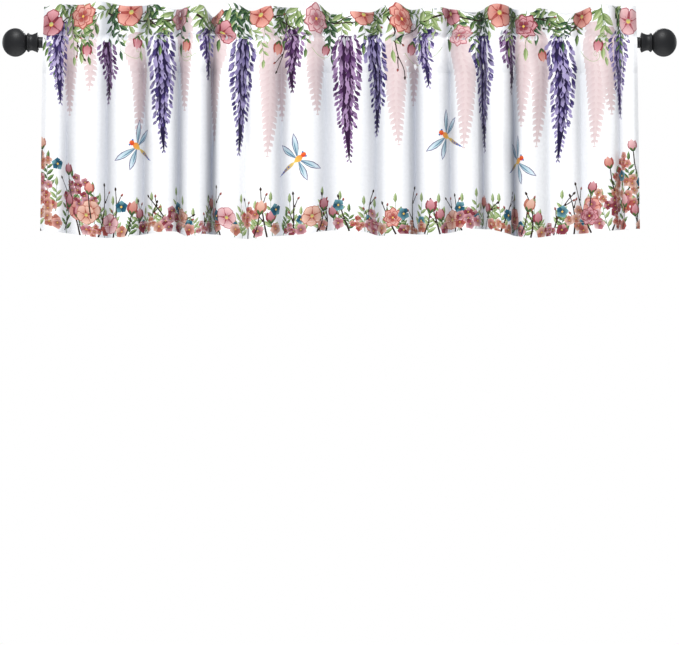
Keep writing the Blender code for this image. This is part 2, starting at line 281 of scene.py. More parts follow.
# The rows between the seams: heights under the rod, angles round it, and steps of the flat layers
POCKET_HEIGHTS = (-46, -30, -13)
FRONT_ANGLE = 28
BACK_ANGLES = (22, 44, 66)
PANEL_STEP = 16.0
HEADER_STEP = 8.0
SEAMS = ("pocket_front", "header_front", "header_back", "pocket_back")


def under_rod(outer, pocket_seam):
    """The rows of a pocket wall from the pocket seam up to the rod."""
    rows = []
    for height in POCKET_HEIGHTS:
        share = np.clip((height - POCKET_SEAM) / (-POCKET_STRAIGHT - POCKET_SEAM), 0, 1)
        share = 0.5 - 0.5 * math.cos(math.pi * share)
        row = pocket_seam * (1 - share) + outer * share
        row[:, 2] = height
        rows.append(row)
    return rows


def round_rod(outer, degrees):
    """A row of a pocket wall that follows the rod round, at an angle up from the rod's own height."""
    angle = math.radians(degrees)
    side = np.sign(outer[:, 1])
    stand = np.abs(outer[:, 1]) - ROD_REACH
    out = ROD_REACH * math.cos(angle) + stand * math.cos(angle) ** 2
    return np.stack([outer[:, 0], side * out, np.full_like(out, ROD_REACH * math.sin(angle))], axis=1)


def front_wall(pocket_seam):
    outer = beside_rod(-1)
    return [*under_rod(outer, pocket_seam), outer, round_rod(outer, FRONT_ANGLE)]


def back_wall(header_seam, pocket_seam):
    outer = beside_rod(1)
    over = round_rod(outer, 90)
    rows = [*under_rod(outer, pocket_seam), outer]
    rows += [round_rod(outer, degrees) for degrees in BACK_ANGLES]
    return [*rows, over, (over + header_seam) / 2]


def sheet_rows():
    """The whole sheet as rows of points, from its foot up the front and down the back to its end.

    The second value says which row is each seam and the top fold.
    """
    panel_count = round((POCKET_SEAM - SEAM_ALLOWANCE - FOOT_HEIGHT) / PANEL_STEP)
    low_heights = [*np.linspace(FOOT_HEIGHT, POCKET_SEAM - SEAM_ALLOWANCE, panel_count + 1), POCKET_SEAM]
    low_front, low_back = layers(low_heights)
    header_count = round((TOP_HEIGHT - HEADER_SEAM) / HEADER_STEP)
    high_front, high_back = layers(np.linspace(HEADER_SEAM, TOP_HEIGHT, header_count + 1))
    fold = (high_front[-1] + high_back[-1]) / 2
    fold[:, 2] += (CAD_THICKNESS + LAYER_GAP) / 2
    marks = {}
    rows = list(low_front)
    marks["pocket_front"] = len(rows) - 1
    rows += front_wall(low_front[-1])
    marks["header_front"] = len(rows)
    rows += list(high_front)
    marks["top"] = len(rows)
    rows.append(fold)
    rows += list(high_back[::-1])
    marks["header_back"] = len(rows) - 1
    rows += back_wall(high_back[0], low_back[-1])[::-1]
    marks["pocket_back"] = len(rows)
    return [*rows, low_back[-1], low_back[-2]], marks


def spread_evenly(row, count):
    """A row's points moved along it to even steps of the flat cloth's width."""
    along = np.concatenate([[0], np.cumsum(np.linalg.norm(np.diff(row, axis=0), axis=1))])
    even = np.linspace(0, along[-1], count)
    return np.stack([np.interp(even, along, row[:, axis]) for axis in range(3)], axis=1)


def smooth_through(rows, v, step):
    """Rows about a step apart on a smooth surface through the given rows, and each one's v."""
    slopes = np.gradient(rows, v, axis=0)
    found, found_v = [], []
    for index in range(len(rows) - 1):
        span = v[index + 1] - v[index]
        for b in np.arange(0, 1, 1 / max(2, round(span / step))):
            a = 1 - b
            found.append(
                rows[index] * (1 + 2 * b) * a * a
                + slopes[index] * span * b * a * a
                + rows[index + 1] * (1 + 2 * a) * b * b
                - slopes[index + 1] * span * a * b * b
            )
            found_v.append(v[index] + b * span)
    found.append(rows[-1])
    found_v.append(v[-1])
    return np.array(found), np.array(found_v)


def outward(surface):
    """Unit vectors square to the surface, pointing out of the printed side of the cloth."""
    across = np.gradient(surface, U_LINES, axis=1)
    along = np.gradient(surface, V_LINES, axis=0)
    square = np.cross(across, along)
    return square / np.linalg.norm(square, axis=2, keepdims=True)


def ripple(u, spacing, seed):
    """An uneven wave from -1 to 1 along the cloth's width, about a spacing long."""
    chance = random.Random(seed)
    knots = []
    at = -spacing
    while at < CLOTH_WIDTH + 2 * spacing:
        knots.append((at, chance.uniform(-1, 1)))
        at += spacing * chance.uniform(0.6, 1.4)
    return eased(knots, u)


# Soft creases of the panel: middle, half length and half width in millimetres,
# lean from upright in degrees, and height, less than nothing for a trough
Crease = namedtuple("Crease", "u v length width lean height")
CREASES = (
    Crease(60, 250, 60, 9, -8, 1.6),
    Crease(175, 120, 80, 10, 6, -1.4),
    Crease(265, 230, 55, 8, -14, 1.3),
    Crease(372, 90, 70, 12, 4, 1.5),
    Crease(455, 200, 60, 9, 12, -1.6),
    Crease(548, 60, 50, 10, -6, 1.4),
    Crease(640, 180, 90, 12, 5, 1.6),
    Crease(722, 270, 40, 8, -10, -1.3),
    Crease(806, 110, 75, 11, -4, -1.5),
    Crease(905, 235, 55, 9, 9, 1.4),
    Crease(985, 75, 55, 10, -5, 1.3),
    Crease(1076, 185, 60, 9, 7, -1.5),
    Crease(1168, 170, 30, 7, -3, 2.2),
    Crease(1262, 250, 50, 9, 8, 1.5),
    Crease(1345, 105, 70, 11, -7, -1.4),
    Crease(1452, 215, 65, 10, 5, 1.6),
)
# The seams' dents and puckers, the foot's waver, and how far the back layers stand away from the
# front, so that a straight triangle of one never cuts through the other
SEAM_DENT = 0.7
SEAM_DENT_WIDTH = 2.6
PUCKER = 0.75
PUCKER_SPACING = 13.0
PUCKER_REACH = 24.0
FOOT_WAVER = 1.0
FOOT_WAVER_SPACING = 31.0
FOOT_WAVER_REACH = 40.0
BACK_EASE = 1.3
POCKET_EASE = 2.5
EASE_OVER = 10.0


def relief(marks_v):
    """How far the cloth's small dents, puckers and creases stand out of its printed side.

    The header's and the pocket's back layers also stand a little away from the front ones.
    """
    u = U_LINES[None, :]
    v = V_LINES[:, None]
    out = np.zeros((len(V_LINES), len(U_LINES)))
    gather = ripple(U_LINES, PUCKER_SPACING, seed=3) + 0.5 * ripple(U_LINES, PUCKER_SPACING / 2, seed=4)
    for seam in SEAMS:
        side = 1 if seam.endswith("front") else -1
        away = np.abs(v - marks_v[seam])
        out += side * PUCKER * gather * np.exp(-((away / PUCKER_REACH) ** 2))
        out -= SEAM_DENT * np.exp(-((away / SEAM_DENT_WIDTH) ** 2))
    out += BACK_EASE * np.clip((v - marks_v["top"]) / EASE_OVER, 0, 1)
    in_pocket = np.minimum(v - marks_v["header_back"], marks_v["pocket_back"] - v)
    out += POCKET_EASE * np.clip(in_pocket / EASE_OVER, 0, 1)
    out -= SEAM_DENT / 2 * np.exp(-((np.abs(v - HEM_DEPTH) / SEAM_DENT_WIDTH) ** 2))
    waver = FOOT_WAVER * ripple(U_LINES, FOOT_WAVER_SPACING, seed=5)
    out += waver * np.exp(-((v / FOOT_WAVER_REACH) ** 2))
    for crease in CREASES:
        lean = math.radians(crease.lean)
        along = (v - crease.v) * math.cos(lean) + (u - crease.u) * math.sin(lean)
        across = (u - crease.u) * math.cos(lean) - (v - crease.v) * math.sin(lean)
        out += crease.height * np.exp(-((across / crease.width) ** 2) - (along / crease.length) ** 2)
    return out


# Painted shade: these values are stored as the cloth's fold_shade attribute and darken its colour in the
# folds' valleys
# The fold shade: how much of the light a fold this deep, in millimetres, keeps from its valley
DEEPEST = 44.0
DEEPEST_SHADE = 0.75
SHADE_CURVE = 0.6
SHADE_SOFTNESS = 10.0
DARKEST_SHADE = 0.85
SHADE_WINDOW = 46.0
FLANK_WINDOW = 9.0
SKY_SHARE = 0.3
VALLEY_STARTS = 0.5
VALLEY_FULL = 0.9
LEAST_DEPTH = 4.0
# How much darker or paler some valleys are than others of their depth, by where they are at the rod
VALLEY_SHARES = (
    (-546, 0.9), (-465, 1.02), (-391, 0.86), (-321, 0.94), (-255, 1.0), (-188, 0.25),
    (-116, 1.08), (-28, 1.0), (73, 0.9), (151, 1.2), (221, 0.86), (288, 0.76), (350, 1.03),
    (418, 0.5), (483, 0.64), (561, 0.4),
)


def windows(values, reach):
    """The values within a reach of each place along the cloth's width, on a third axis."""
    count = round(reach / U_STEP)
    padded = np.pad(values, ((0, 0), (count, count)), mode="edge")
    return np.lib.stride_tricks.sliding_window_view(padded, 2 * count + 1, axis=1)


def fold_shade(surface, normals):
    """How shaded each place is, from 0 on a crest to 1, by its depth behind the crests beside it.

    A valley's middle, which faces the light again, is kept as dark as its flanks.
    """
    forward = np.where(normals[..., 1] < 0, -surface[..., 1], surface[..., 1])
    crest = windows(forward, SHADE_WINDOW).max(axis=2)
    valley = windows(forward, SHADE_WINDOW).min(axis=2)
    depth = crest - forward
    lowness = depth / np.maximum(crest - valley, LEAST_DEPTH)
    in_valley = np.clip((lowness - VALLEY_STARTS) / (VALLEY_FULL - VALLEY_STARTS), 0, 1)
    lit = SKY_SHARE + (1 - SKY_SHARE) * np.abs(normals[..., 1])
    flank = windows(lit, FLANK_WINDOW).min(axis=2)
    evened = 1 - in_valley * (1 - flank / lit)
    deep = DEEPEST_SHADE * np.clip(depth / DEEPEST, 0, 1) ** SHADE_CURVE
    deep = deep * eased(VALLEY_SHARES, surface[..., 0])
    for _ in range(2):
        deep = windows(deep, SHADE_SOFTNESS).mean(axis=2)
    return np.clip(1 - evened * (1 - deep), 0, DARKEST_SHADE)


U_COUNT = round(CLOTH_WIDTH / U_STEP) + 1
U_LINES = np.linspace(0, CLOTH_WIDTH, U_COUNT)
KEY_ROWS, MARKS = sheet_rows()
KEY_ROWS = np.array([spread_evenly(row, U_COUNT) for row in KEY_ROWS])
KEY_V = np.concatenate([[0], np.cumsum(np.linalg.norm(np.diff(KEY_ROWS, axis=0), axis=2).mean(axis=1))])
MARKS_V = {name: KEY_V[row] for name, row in MARKS.items()}
SURFACE, V_LINES = smooth_through(KEY_ROWS, KEY_V, V_STEP)
SURFACE = SURFACE + outward(SURFACE) * relief(MARKS_V)[..., None]
NORMALS = outward(SURFACE)
SHADES = np.stack([fold_shade(SURFACE, NORMALS), fold_shade(SURFACE, -NORMALS)], axis=2)
V_TOP = MARKS_V["top"]
V_END = V_LINES[-1]


def on_cloth(table, u, v):
    """A table's values, one for each row and column of the surface, at places on the flat cloth."""
    column = np.clip(u / U_STEP, 0, U_COUNT - 1.001)
    left = column.astype(int)
    right_share = column - left
    row = np.clip(np.searchsorted(V_LINES, v, side="right") - 1, 0, len(V_LINES) - 2)
    up_share = np.clip((v - V_LINES[row]) / (V_LINES[row + 1] - V_LINES[row]), 0, 1)
    if table.ndim == 3:
        right_share = right_share[:, None]
        up_share = up_share[:, None]
    low = table[row, left] * (1 - right_share) + table[row, left + 1] * right_share
    high = table[row + 1, left] * (1 - right_share) + table[row + 1, left + 1] * right_share
    return low * (1 - up_share) + high * up_share


# The print's colours, as they show in plain daylight
def colour(red, green, blue):
    """A colour given in the 0 to 255 steps of a screen, as light."""
    steps = np.array([red, green, blue]) / 255
    return np.where(steps <= 0.04045, steps / 12.92, ((steps + 0.055) / 1.055) ** 2.4)


GROUND = colour(245, 245, 246)
TONES = {
    "violet": (colour(30, 22, 56), colour(76, 63, 122), colour(160, 149, 190)),
    "lilac": (colour(42, 32, 74), colour(102, 86, 142), colour(178, 166, 202)),
    "plum": (colour(46, 20, 52), colour(94, 58, 106), colour(160, 130, 168)),
    "coral": (colour(122, 38, 42), colour(184, 96, 87), colour(228, 170, 156)),
    "salmon": (colour(136, 66, 56), colour(192, 126, 106), colour(230, 192, 174)),
    "rose": (colour(86, 22, 38), colour(156, 72, 82), colour(218, 160, 166)),
    "blush": (colour(128, 54, 66), colour(190, 120, 128), colour(232, 194, 194)),
    "blue": (colour(14, 38, 56), colour(44, 106, 130), colour(112, 166, 178)),
    "leaf": (colour(42, 64, 36), colour(88, 117, 66), colour(148, 172, 112)),
    "deep_leaf": (colour(20, 42, 30), colour(54, 87, 58), colour(102, 134, 92)),
    "spring": (colour(106, 126, 74), colour(150, 170, 114), colour(188, 202, 154)),
    "ghost": (colour(210, 186, 187), colour(218, 199, 199), colour(226, 211, 211)),
}
TWIG = colour(50, 36, 30)
STEM = colour(92, 122, 64)
CURL = colour(156, 176, 120)
POLLEN = colour(228, 186, 88)
STAMEN = colour(146, 56, 46)

Shape = namedtuple("Shape", "points start end low high")


class Drawing:
    """The print's shapes in the order they are laid on the flat cloth, for its face and its back."""

    def __init__(self):
        self.face = []
        self.back = []

    def add(self, points, start, end, low, high, shows_through=False):
        shape = Shape(np.array(points), np.array(start, float), np.array(end, float), low, high)
        self.face.append(shape)
        if shows_through:
            self.back.append(shape)


drawing = Drawing()


def towards(angle):
    """The unit vector at an angle in degrees: 0 to the right, 90 up the cloth."""
    return np.array([math.cos(math.radians(angle)), math.sin(math.radians(angle))])


FIFTH_TURN = 72
SEVENTH_TURN = 51
LIT_REACH = 0.86


def blade(at, angle, length, width, low, high, belly=1.0, steps=4, through=False, bend=0.0, lit=False):
    """A petal or leaf from its foot to its tip; a belly over 1 is widest near the tip.

    With lit it is only the lit side of a leaf, left of its middle.
    """
    ahead = towards(angle)
    aside = towards(angle + 90)
    share = np.linspace(0, 1, steps + 1)[:, None]
    middle = np.array(at) + ahead * length * share + aside * bend * length * share * (1 - share)
    half = aside * width / 2 * np.sin(math.pi * share**belly)
    right, left = (middle, middle + half * LIT_REACH) if lit else (middle - half, middle + half)
    outline = np.concatenate([right, left[-2:0:-1]])
    drawing.add(outline, at, np.array(at) + ahead * length, low, high, through)


def stroke(points, width, end_width, tint):
    """A drawn line that tapers from one width to another."""
    points = np.array(points)
    along = np.gradient(points, axis=0)
    along /= np.linalg.norm(along, axis=1, keepdims=True)
    aside = np.stack([-along[:, 1], along[:, 0]], axis=1)
    half = np.linspace(width, end_width, len(points))[:, None] / 2
    outline = np.concatenate([points - aside * half, (points + aside * half)[::-1]])
    drawing.add(outline, points[0], points[-1], tint, tint)


def disc(at, radius, low, high, sides=7):
    turns = np.linspace(0, 360, sides, endpoint=False)
    outline = [np.array(at) + radius * towards(turn) for turn in turns]
    drawing.add(outline, np.array(at) - (0, radius), np.array(at) + (0, radius), low, high)


def path(at, angle, length, bend, count):
    """Points along a line that sets out at an angle and turns by bend degrees over its length."""
    points = [np.array(at, float)]
    for step in range(count):
        heading = angle + bend * (step + 0.5) / count
        points.append(points[-1] + towards(heading) * length / count)
    return points


LONG_LEAF = 24.0
LEAF_WIDTH = 0.38
LEAF_BELLY = 0.85


def leaf(at, angle, length, tone, bend=0.1):
    dark, middle, light = TONES[tone]
    width = length * LEAF_WIDTH
    steps = 4 if length > LONG_LEAF else 3
    blade(at, angle, length, width, dark, middle, LEAF_BELLY, steps, bend=bend)
    blade(at, angle, length, width, middle, light, LEAF_BELLY, steps - 1, bend=bend, lit=True)


def spray(at, angle, length, bend, leaf_length, pairs, tone):
    """A stem with leaves in pairs and one at its end, the leaves smaller towards the end."""
    points = path(at, angle, length, bend, pairs + 1)
    stroke(points, 1.5, 0.8, STEM)
    drawing.back.append(outline_of(points, leaf_length, 0.6, TONES[tone][1]))
    for pair in range(pairs, 0, -1):
        heading = angle + bend * pair / (pairs + 1)
        size = leaf_length * (1 - 0.35 * pair / pairs)
        lower = points[pair - 1] * 0.4 + points[pair] * 0.6
        for side, foot in ((-1, lower), (1, points[pair])):
            leaf(foot, heading + side * 44, size, tone, -0.1 * side)
    leaf(points[-1], angle + bend, leaf_length * 0.8, tone)


BELL_PITCH = 10.0
GHOST_PITCH = 13.0
BELL_PLACES = (-0.84, 0.84, -0.42, 0.42, 0.0)
BELL_PLACES_LOW = (-0.5, 0.5)
FULL_ROW_REACH = 11


def raceme(at, length, width, tone, sway, chance):
    """A hanging spike of small bells, full at its top and fine at its tip."""
    dark, middle, light = TONES[tone]
    rows = round(length / BELL_PITCH)
    points = path(at, -90 - sway, length, 2 * sway, rows)
    stroke(points, 2.4, 1.0, dark)
    drawing.back.append(outline_of(points, width, 0.42, middle, 0.4))
    drawing.face.append(outline_of(points, width, 0.34, dark))
    for row in range(rows, -1, -1):
        share = row / rows
        reach = width / 2 * min(1, 0.5 + share * 5) * (1 - share) ** 0.75 + 1.5
        size = 6.0 + reach * 0.5
        for index, place in enumerate(BELL_PLACES if reach > FULL_ROW_REACH else BELL_PLACES_LOW):
            x = place * reach + chance.uniform(-0.08, 0.08) * reach
            y = chance.uniform(-2.5, 2.5) + abs(place) * 6
            heading = -90 + place * 46 + chance.uniform(-12, 12)
            foot = points[row] + (x, y)
            low, high = chance.choice(((dark, middle), (middle, light), (dark, light), (light, light)))
            blade(foot, heading, size * 1.15, size * 0.54, low, high, 1.3, 3)
            if (row + index) % 3 == 0:
                tip = foot + towards(heading) * size * 0.2
                inner = dark if high is light else light
                blade(tip, heading + chance.uniform(-10, 10), size * 0.8, size * 0.2, inner, inner, 1.0, 2)


def outline_of(points, width, reach, tint, teeth=0.0):
    """A spike's soft outline, out to a share of its width on each side, plain or toothed."""
    share = np.linspace(0, 1, len(points))
    half = width * reach * np.minimum(1, 0.5 + share * 4) * (1 - share) ** 0.8 + 0.6
    half[::2] *= 1 - teeth
    points = np.array(points)
    aside = np.stack([half, np.zeros(len(points))], axis=1)
    outline = np.concatenate([points - aside, (points + aside)[::-1]])
    return Shape(outline, points[0], points[-1], tint, tint)


def ghost(at, length, width, sway):
    """A pale spike in the background: its soft outline and pale bells."""
    dark, middle, light = TONES["ghost"]
    rows = round(length / GHOST_PITCH)
    points = path(at, -90 - sway, length, 2 * sway, rows)
    drawing.face.append(outline_of(points, width, 0.34, middle))
    for row in range(rows, -1, -1):
        share = row / rows
        reach = width / 2 * min(1, 0.5 + share * 4) * (1 - share) ** 0.6 + 3
        for side in (-1, 1):
            foot = points[row] + (side * reach * 0.1, 0)
            blade(foot, -90 + side * 46, reach * 1.2, reach * 0.5 + 2.5, dark, light, 1.2, 3)


def wild_rose(at, radius, turn, tone, chance):
    """An open flower of five petals round a heart of stamens."""
    dark, middle, light = TONES[tone]
    disc(at, radius * 0.74, middle, dark, 10)
    for petal in range(5):
        heading = turn + petal * FIFTH_TURN + chance.uniform(-7, 7)
        size = radius * chance.uniform(0.9, 1.06)
        out = towards(heading) * radius
        blade(at, heading, size, radius * 1.06, dark, middle, 1.9, 6, True)
        blade(at + out * 0.06, heading, size * 0.88, radius * 0.9, middle, light, 1.9, 5)
        blade(at + out * 0.14, heading, size * 0.5, radius * 0.09, dark, light, 0.8, 2)
    disc(at, radius * 0.16, POLLEN, TONES["spring"][1])
    for stamen in range(5):
        heading = turn + (stamen + 0.5) * FIFTH_TURN
        disc(at + towards(heading) * radius * 0.27, radius * 0.05 + 0.3, STAMEN, STAMEN, 4)


def full_rose(at, radius, turn, tone, chance):
    """A full flower: rings of petals, each ring smaller and deeper in colour than the one round it."""
    dark, middle, light = TONES[tone]
    rings = ((7, 1.0, middle, light), (5, 0.7, dark, light), (4, 0.42, dark, middle))
    for ring, (count, share, low, high) in enumerate(rings):
        for petal in range(count):
            heading = turn + ring * 25 + petal * 360 / count + chance.uniform(-6, 6)
            size = radius * share * chance.uniform(0.92, 1.05)
            width = size * 1.9 / count**0.5
            blade(at, heading, size, width, dark, middle, 1.7, 4, ring == 0)
            blade(at, heading, size * 0.9, width * 0.82, low, high, 1.7, 4)
    disc(at, radius * 0.1, POLLEN, POLLEN, 5)


def bud(at, angle, length, tone, chance):
    """A round bud in its green cup."""
    dark, middle, light = TONES[tone]
    for side, low, high in ((-1, dark, middle), (1, dark, middle), (0, middle, light)):
        heading = angle + side * 17 + chance.uniform(-3, 3)
        width = length * (0.5 if side else 0.56)
        blade(at, heading, length * (0.92 if side else 1), width, low, high, 1.1, 4, True)
    for side in (-1, 1):
        blade(at, angle + side * 30, length * 0.42, length * 0.18, *TONES["leaf"][:2])


def floret(at, radius, turn, tone, chance):
    """A small flower of five round petals."""
    dark, middle, light = TONES[tone]
    for petal in range(5):
        heading = turn + petal * FIFTH_TURN + chance.uniform(-8, 8)
        blade(at, heading, radius, radius * 0.96, dark, chance.choice((middle, light, light)), 1.4, 3)
    disc(at, radius * 0.2, POLLEN if tone == "blue" else dark, POLLEN, 4)


def cluster(at, radius, tone, chance):
    """A loose head of small flowers."""
    for turn in range(4):
        place = at + towards(turn * 90 + chance.uniform(-26, 26)) * radius * chance.uniform(0.5, 0.85)
        floret(place, radius * 0.5, chance.uniform(0, FIFTH_TURN), tone, chance)
    floret(at, radius * 0.5, chance.uniform(0, FIFTH_TURN), tone, chance)


TWIG_WIDTH = 3.8


def twig(at, angle, length, bend):
    """A bare branch with short side shoots, each with a small bud."""
    width = TWIG_WIDTH
    points = path(at, angle, length, bend, 6)
    stroke(points, width, width * 0.45, TWIG)
    for knot, side in ((2, 1), (4, -1)):
        heading = angle + bend * knot / 6 + side * 38
        shoot = path(points[knot], heading, length * 0.2, -side * 20, 2)
        stroke(shoot, width * 0.65, width * 0.45, TWIG)
        blade(shoot[-1], heading, width * 2.2, width * 1.2, TWIG, TONES["coral"][1])
        blade(points[knot], heading, width * 1.6, width * 1.4, TWIG, TWIG, 1.0, 3)
    blade(points[-1] - towards(angle + bend) * width, angle + bend, width * 2.4, width * 1.3, TWIG, TWIG)


CURL_STEPS = 22


def curl(at, angle, length, turns):
    """A tendril that winds up at its end."""
    points = [np.array(at, float)]
    heading = angle
    for step in range(CURL_STEPS):
        share = step / CURL_STEPS
        heading += 360 * turns / CURL_STEPS * share * 2
        points.append(points[-1] + towards(heading) * length / CURL_STEPS * (1.5 - share))
    stroke(points, 1.0, 0.7, CURL)


def dragonfly(at, angle, size):
    """A small dragonfly: four long wings, and a body that goes from red to yellow to blue."""
    vein, wing_low = TONES["violet"][:2]
    wing_middle, wing_light = TONES["blue"][2], colour(226, 236, 244)
    for side in (-1, 1):
        for turn, length in ((62, 0.62), (104, 0.56)):
            heading = angle + side * turn
            blade(at, heading, size * length, size * 0.15, vein, wing_low, 1.3, 5, True)
            blade(at, heading, size * length * 0.95, size * 0.115, wing_middle, wing_light, 1.3, 5)
            blade(at, heading + 3 * side, size * length * 0.8, size * 0.03, wing_low, wing_middle, 1.0, 3)
    red, orange, yellow = colour(206, 44, 34), colour(240, 118, 52), colour(246, 210, 96)
    deep, sky = colour(34, 52, 150), colour(84, 130, 208)
    tail = at - towards(angle) * size * 0.08
    blade(tail, angle + 180, size * 0.56, size * 0.085, yellow, deep, 0.6, 6, True, bend=0.05)
    for joint in range(4):
        place = tail - towards(angle) * size * (0.16 + joint * 0.09)
        blade(place, angle + 180, size * 0.07, size * 0.04, sky, deep, 1.0, 2)
    blade(at - towards(angle) * size * 0.12, angle, size * 0.28, size * 0.15, yellow, orange, 1.1, 5, True)
    disc(at + towards(angle) * size * 0.17, size * 0.062, red, orange, 8)
    for side in (-1, 1):
        disc(at + towards(angle + side * 18) * size * 0.2, size * 0.024, colour(40, 40, 60), sky, 5)


# The border along the top, in millimetres on the flat cloth. Each row starts with u and the drop from
# the top edge, and goes on with what the function that draws it takes.
# Pale spikes: length, width, sway
GHOSTS = (
    (70, 30, 190, 52, 4),
    (112, 20, 150, 44, -4),
    (228, 50, 215, 56, -5),
    (366, 20, 190, 50, 5),
    (458, 40, 240, 56, 3),
    (590, 40, 260, 58, -4),
    (626, 30, 200, 50, 5),
    (704, 40, 180, 50, 6),
    (890, 50, 230, 56, 5),
    (926, 30, 170, 46, -4),
    (1056, 30, 260, 58, -5),
    (1240, 40, 200, 54, 4),
    (1274, 30, 250, 56, -3),
    (1410, 30, 255, 58, -4),
    (1446, 40, 180, 50, 5),
)
# Racemes: length, width, tone, sway
RACEMES = (
    (40, 34, 165, 42, "lilac", 5),
    (158, 74, 120, 38, "plum", -6),
    (300, 52, 245, 54, "violet", 5),
    (420, 40, 110, 36, "lilac", -5),
    (522, 66, 230, 52, "violet", -4),
    (652, 44, 130, 40, "plum", 6),
    (776, 60, 255, 54, "plum", 4),
    (838, 56, 205, 48, "violet", -5),
    (968, 44, 120, 38, "lilac", 5),
    (1120, 58, 240, 52, "violet", 5),
    (1190, 50, 125, 40, "plum", -5),
    (1326, 62, 250, 54, "violet", -4),
    (1476, 48, 180, 44, "lilac", 5),
)
# Flowers: radius, tone, kind
TOP_BLOOMS = (
    (18, 36, 27, "rose", "open"),
    (96, 22, 26, "coral", "full"),
    (112, 74, 30, "rose", "bud"),
    (204, 12, 29, "coral", "open"),
    (238, 58, 32, "rose", "bud"),
    (340, 20, 28, "blush", "full"),
    (372, 66, 30, "coral", "bud"),
    (458, 6, 27, "coral", "full"),
    (482, 52, 27, "rose", "open"),
    (576, 14, 29, "coral", "open"),
    (612, 70, 32, "coral", "bud"),
    (702, 28, 28, "blush", "full"),
    (730, 76, 28, "rose", "bud"),
    (812, 6, 27, "coral", "open"),
    (900, 26, 29, "coral", "full"),
    (938, 72, 32, "rose", "bud"),
    (1030, 10, 27, "rose", "open"),
    (1056, 58, 27, "blush", "full"),
    (1164, 16, 28, "coral", "open"),
    (1248, 36, 30, "rose", "full"),
    (1282, 86, 30, "coral", "bud"),
    (1386, 14, 28, "coral", "open"),
    (1424, 64, 32, "rose", "bud"),
    (1504, 30, 28, "blush", "open"),
)
# Sprays: angle, length, bend, a leaf's length, pairs of leaves, tone
TOP_SPRIGS = (
    (4, 64, -60, 72, -24, 25, 4, "leaf"),
    (64, 8, -70, 96, -20, 27, 4, "spring"),
    (128, 20, -112, 84, 24, 26, 4, "leaf"),
    (168, 4, -60, 92, -26, 28, 4, "deep_leaf"),
    (262, 6, -118, 88, 30, 28, 4, "spring"),
    (290, 10, -76, 70, -18, 30, 3, "leaf"),
    (398, 12, -62, 92, -22, 26, 4, "leaf"),
    (438, 4, -104, 70, 14, 24, 3, "spring"),
    (510, 8, -84, 82, 20, 30, 4, "deep_leaf"),
    (550, 30, -58, 84, -28, 26, 4, "spring"),
    (628, 10, -118, 66, 20, 26, 3, "leaf"),
    (668, 6, -74, 80, -20, 28, 3, "leaf"),
    (742, 12, -104, 88, 24, 29, 4, "deep_leaf"),
    (796, 2, -66, 78, -22, 30, 3, "leaf"),
    (846, 14, -108, 62, 20, 28, 3, "spring"),
    (944, 10, -70, 66, -20, 26, 3, "leaf"),
    (984, 4, -112, 94, 26, 27, 4, "spring"),
    (1076, 12, -64, 96, -26, 28, 4, "leaf"),
    (1126, 6, -98, 68, 18, 29, 3, "deep_leaf"),
    (1210, 10, -116, 78, 24, 26, 4, "spring"),
    (1302, 6, -64, 74, -22, 29, 3, "leaf"),
    (1350, 10, -114, 66, 24, 28, 3, "deep_leaf"),
    (1428, 6, -72, 98, -22, 27, 4, "spring"),
    (1488, 16, -108, 90, 22, 26, 4, "leaf"),
)
# Twigs: angle, length, bend
TOP_TWIGS = (
    (0, 30, -10, 120, 30),
    (70, 16, -78, 100, 16),
    (150, 18, -14, 170, 26),
    (330, 14, -150, 90, -30),
    (385, 18, -30, 150, 40),
    (560, 12, -8, 130, -24),
    (640, 20, -96, 120, -20),
    (690, 14, -16, 190, 34),
    (870, 22, -60, 130, -30),
    (1000, 16, -168, 120, 30),
    (1050, 14, -12, 170, 22),
    (1098, 20, -84, 140, 18),
    (1240, 12, -20, 150, 36),
    (1400, 18, -150, 110, -34),
    (1466, 14, -70, 120, -16),
)
# Tendrils: angle, length, turns
TOP_CURLS = (
    (196, 90, -40, 92, 1.3),
    (345, 84, -70, 84, 1.5),
    (394, 96, -150, 78, -1.4),
    (560, 92, -120, 84, -1.4),
    (690, 84, -50, 92, 1.4),
    (916, 96, -60, 88, 1.5),
    (1010, 84, -130, 88, -1.3),
    (1230, 98, -120, 84, -1.5),
    (1380, 92, -50, 90, 1.4),
)
# Small dragonflies over the white middle: u, height over the foot, heading and size
DRAGONFLIES = (
    (226, 176, 146, 88),
    (664, 150, 38, 86),
    (1006, 196, 152, 88),
    (1232, 148, 30, 84),
)


# Broad sprays behind the top border, which run over the cloth's top edge
BEHIND_PITCH = 47.0
BEHIND_LEAF = 36.0


def draw_behind(chance):
    for index in range(round(CLOTH_WIDTH / BEHIND_PITCH)):
        u = (index + 0.5) * BEHIND_PITCH + chance.uniform(-12, 12)
        lean = chance.uniform(-34, 34)
        length = chance.uniform(56, 104)
        tone = ("spring", "leaf", "spring", "deep_leaf")[index % 4]
        spray((u, V_TOP + chance.uniform(4, 16)), -90 + lean, length, -lean, BEHIND_LEAF, 3, tone)
        side = -18 if index % 2 else 198
        tone = ("deep_leaf", "spring", "leaf")[index % 3]
        spray((u - 20, V_TOP - chance.uniform(-4, 12)), side, 62, chance.uniform(-20, 20), 26, 3, tone)


def hung(table):
    """A table's rows, each drop from the top edge made into a place on the flat cloth."""
    return [((u, V_TOP - drop), *rest) for u, drop, *rest in table]


def draw_top(chance):
    for row in hung(GHOSTS):
        ghost(*row)
    draw_behind(chance)
    for row in hung(TOP_CURLS):
        curl(*row)
    for row in hung(TOP_TWIGS):
        twig(*row)
    for row in hung(TOP_SPRIGS[::2]):
        spray(*row)
    for row in hung(RACEMES):
        raceme(*row, chance)
    for row in hung(TOP_SPRIGS[1::2]):
        spray(*row)
    for row in hung(TOP_BLOOMS):
        draw_bloom(*row, chance)


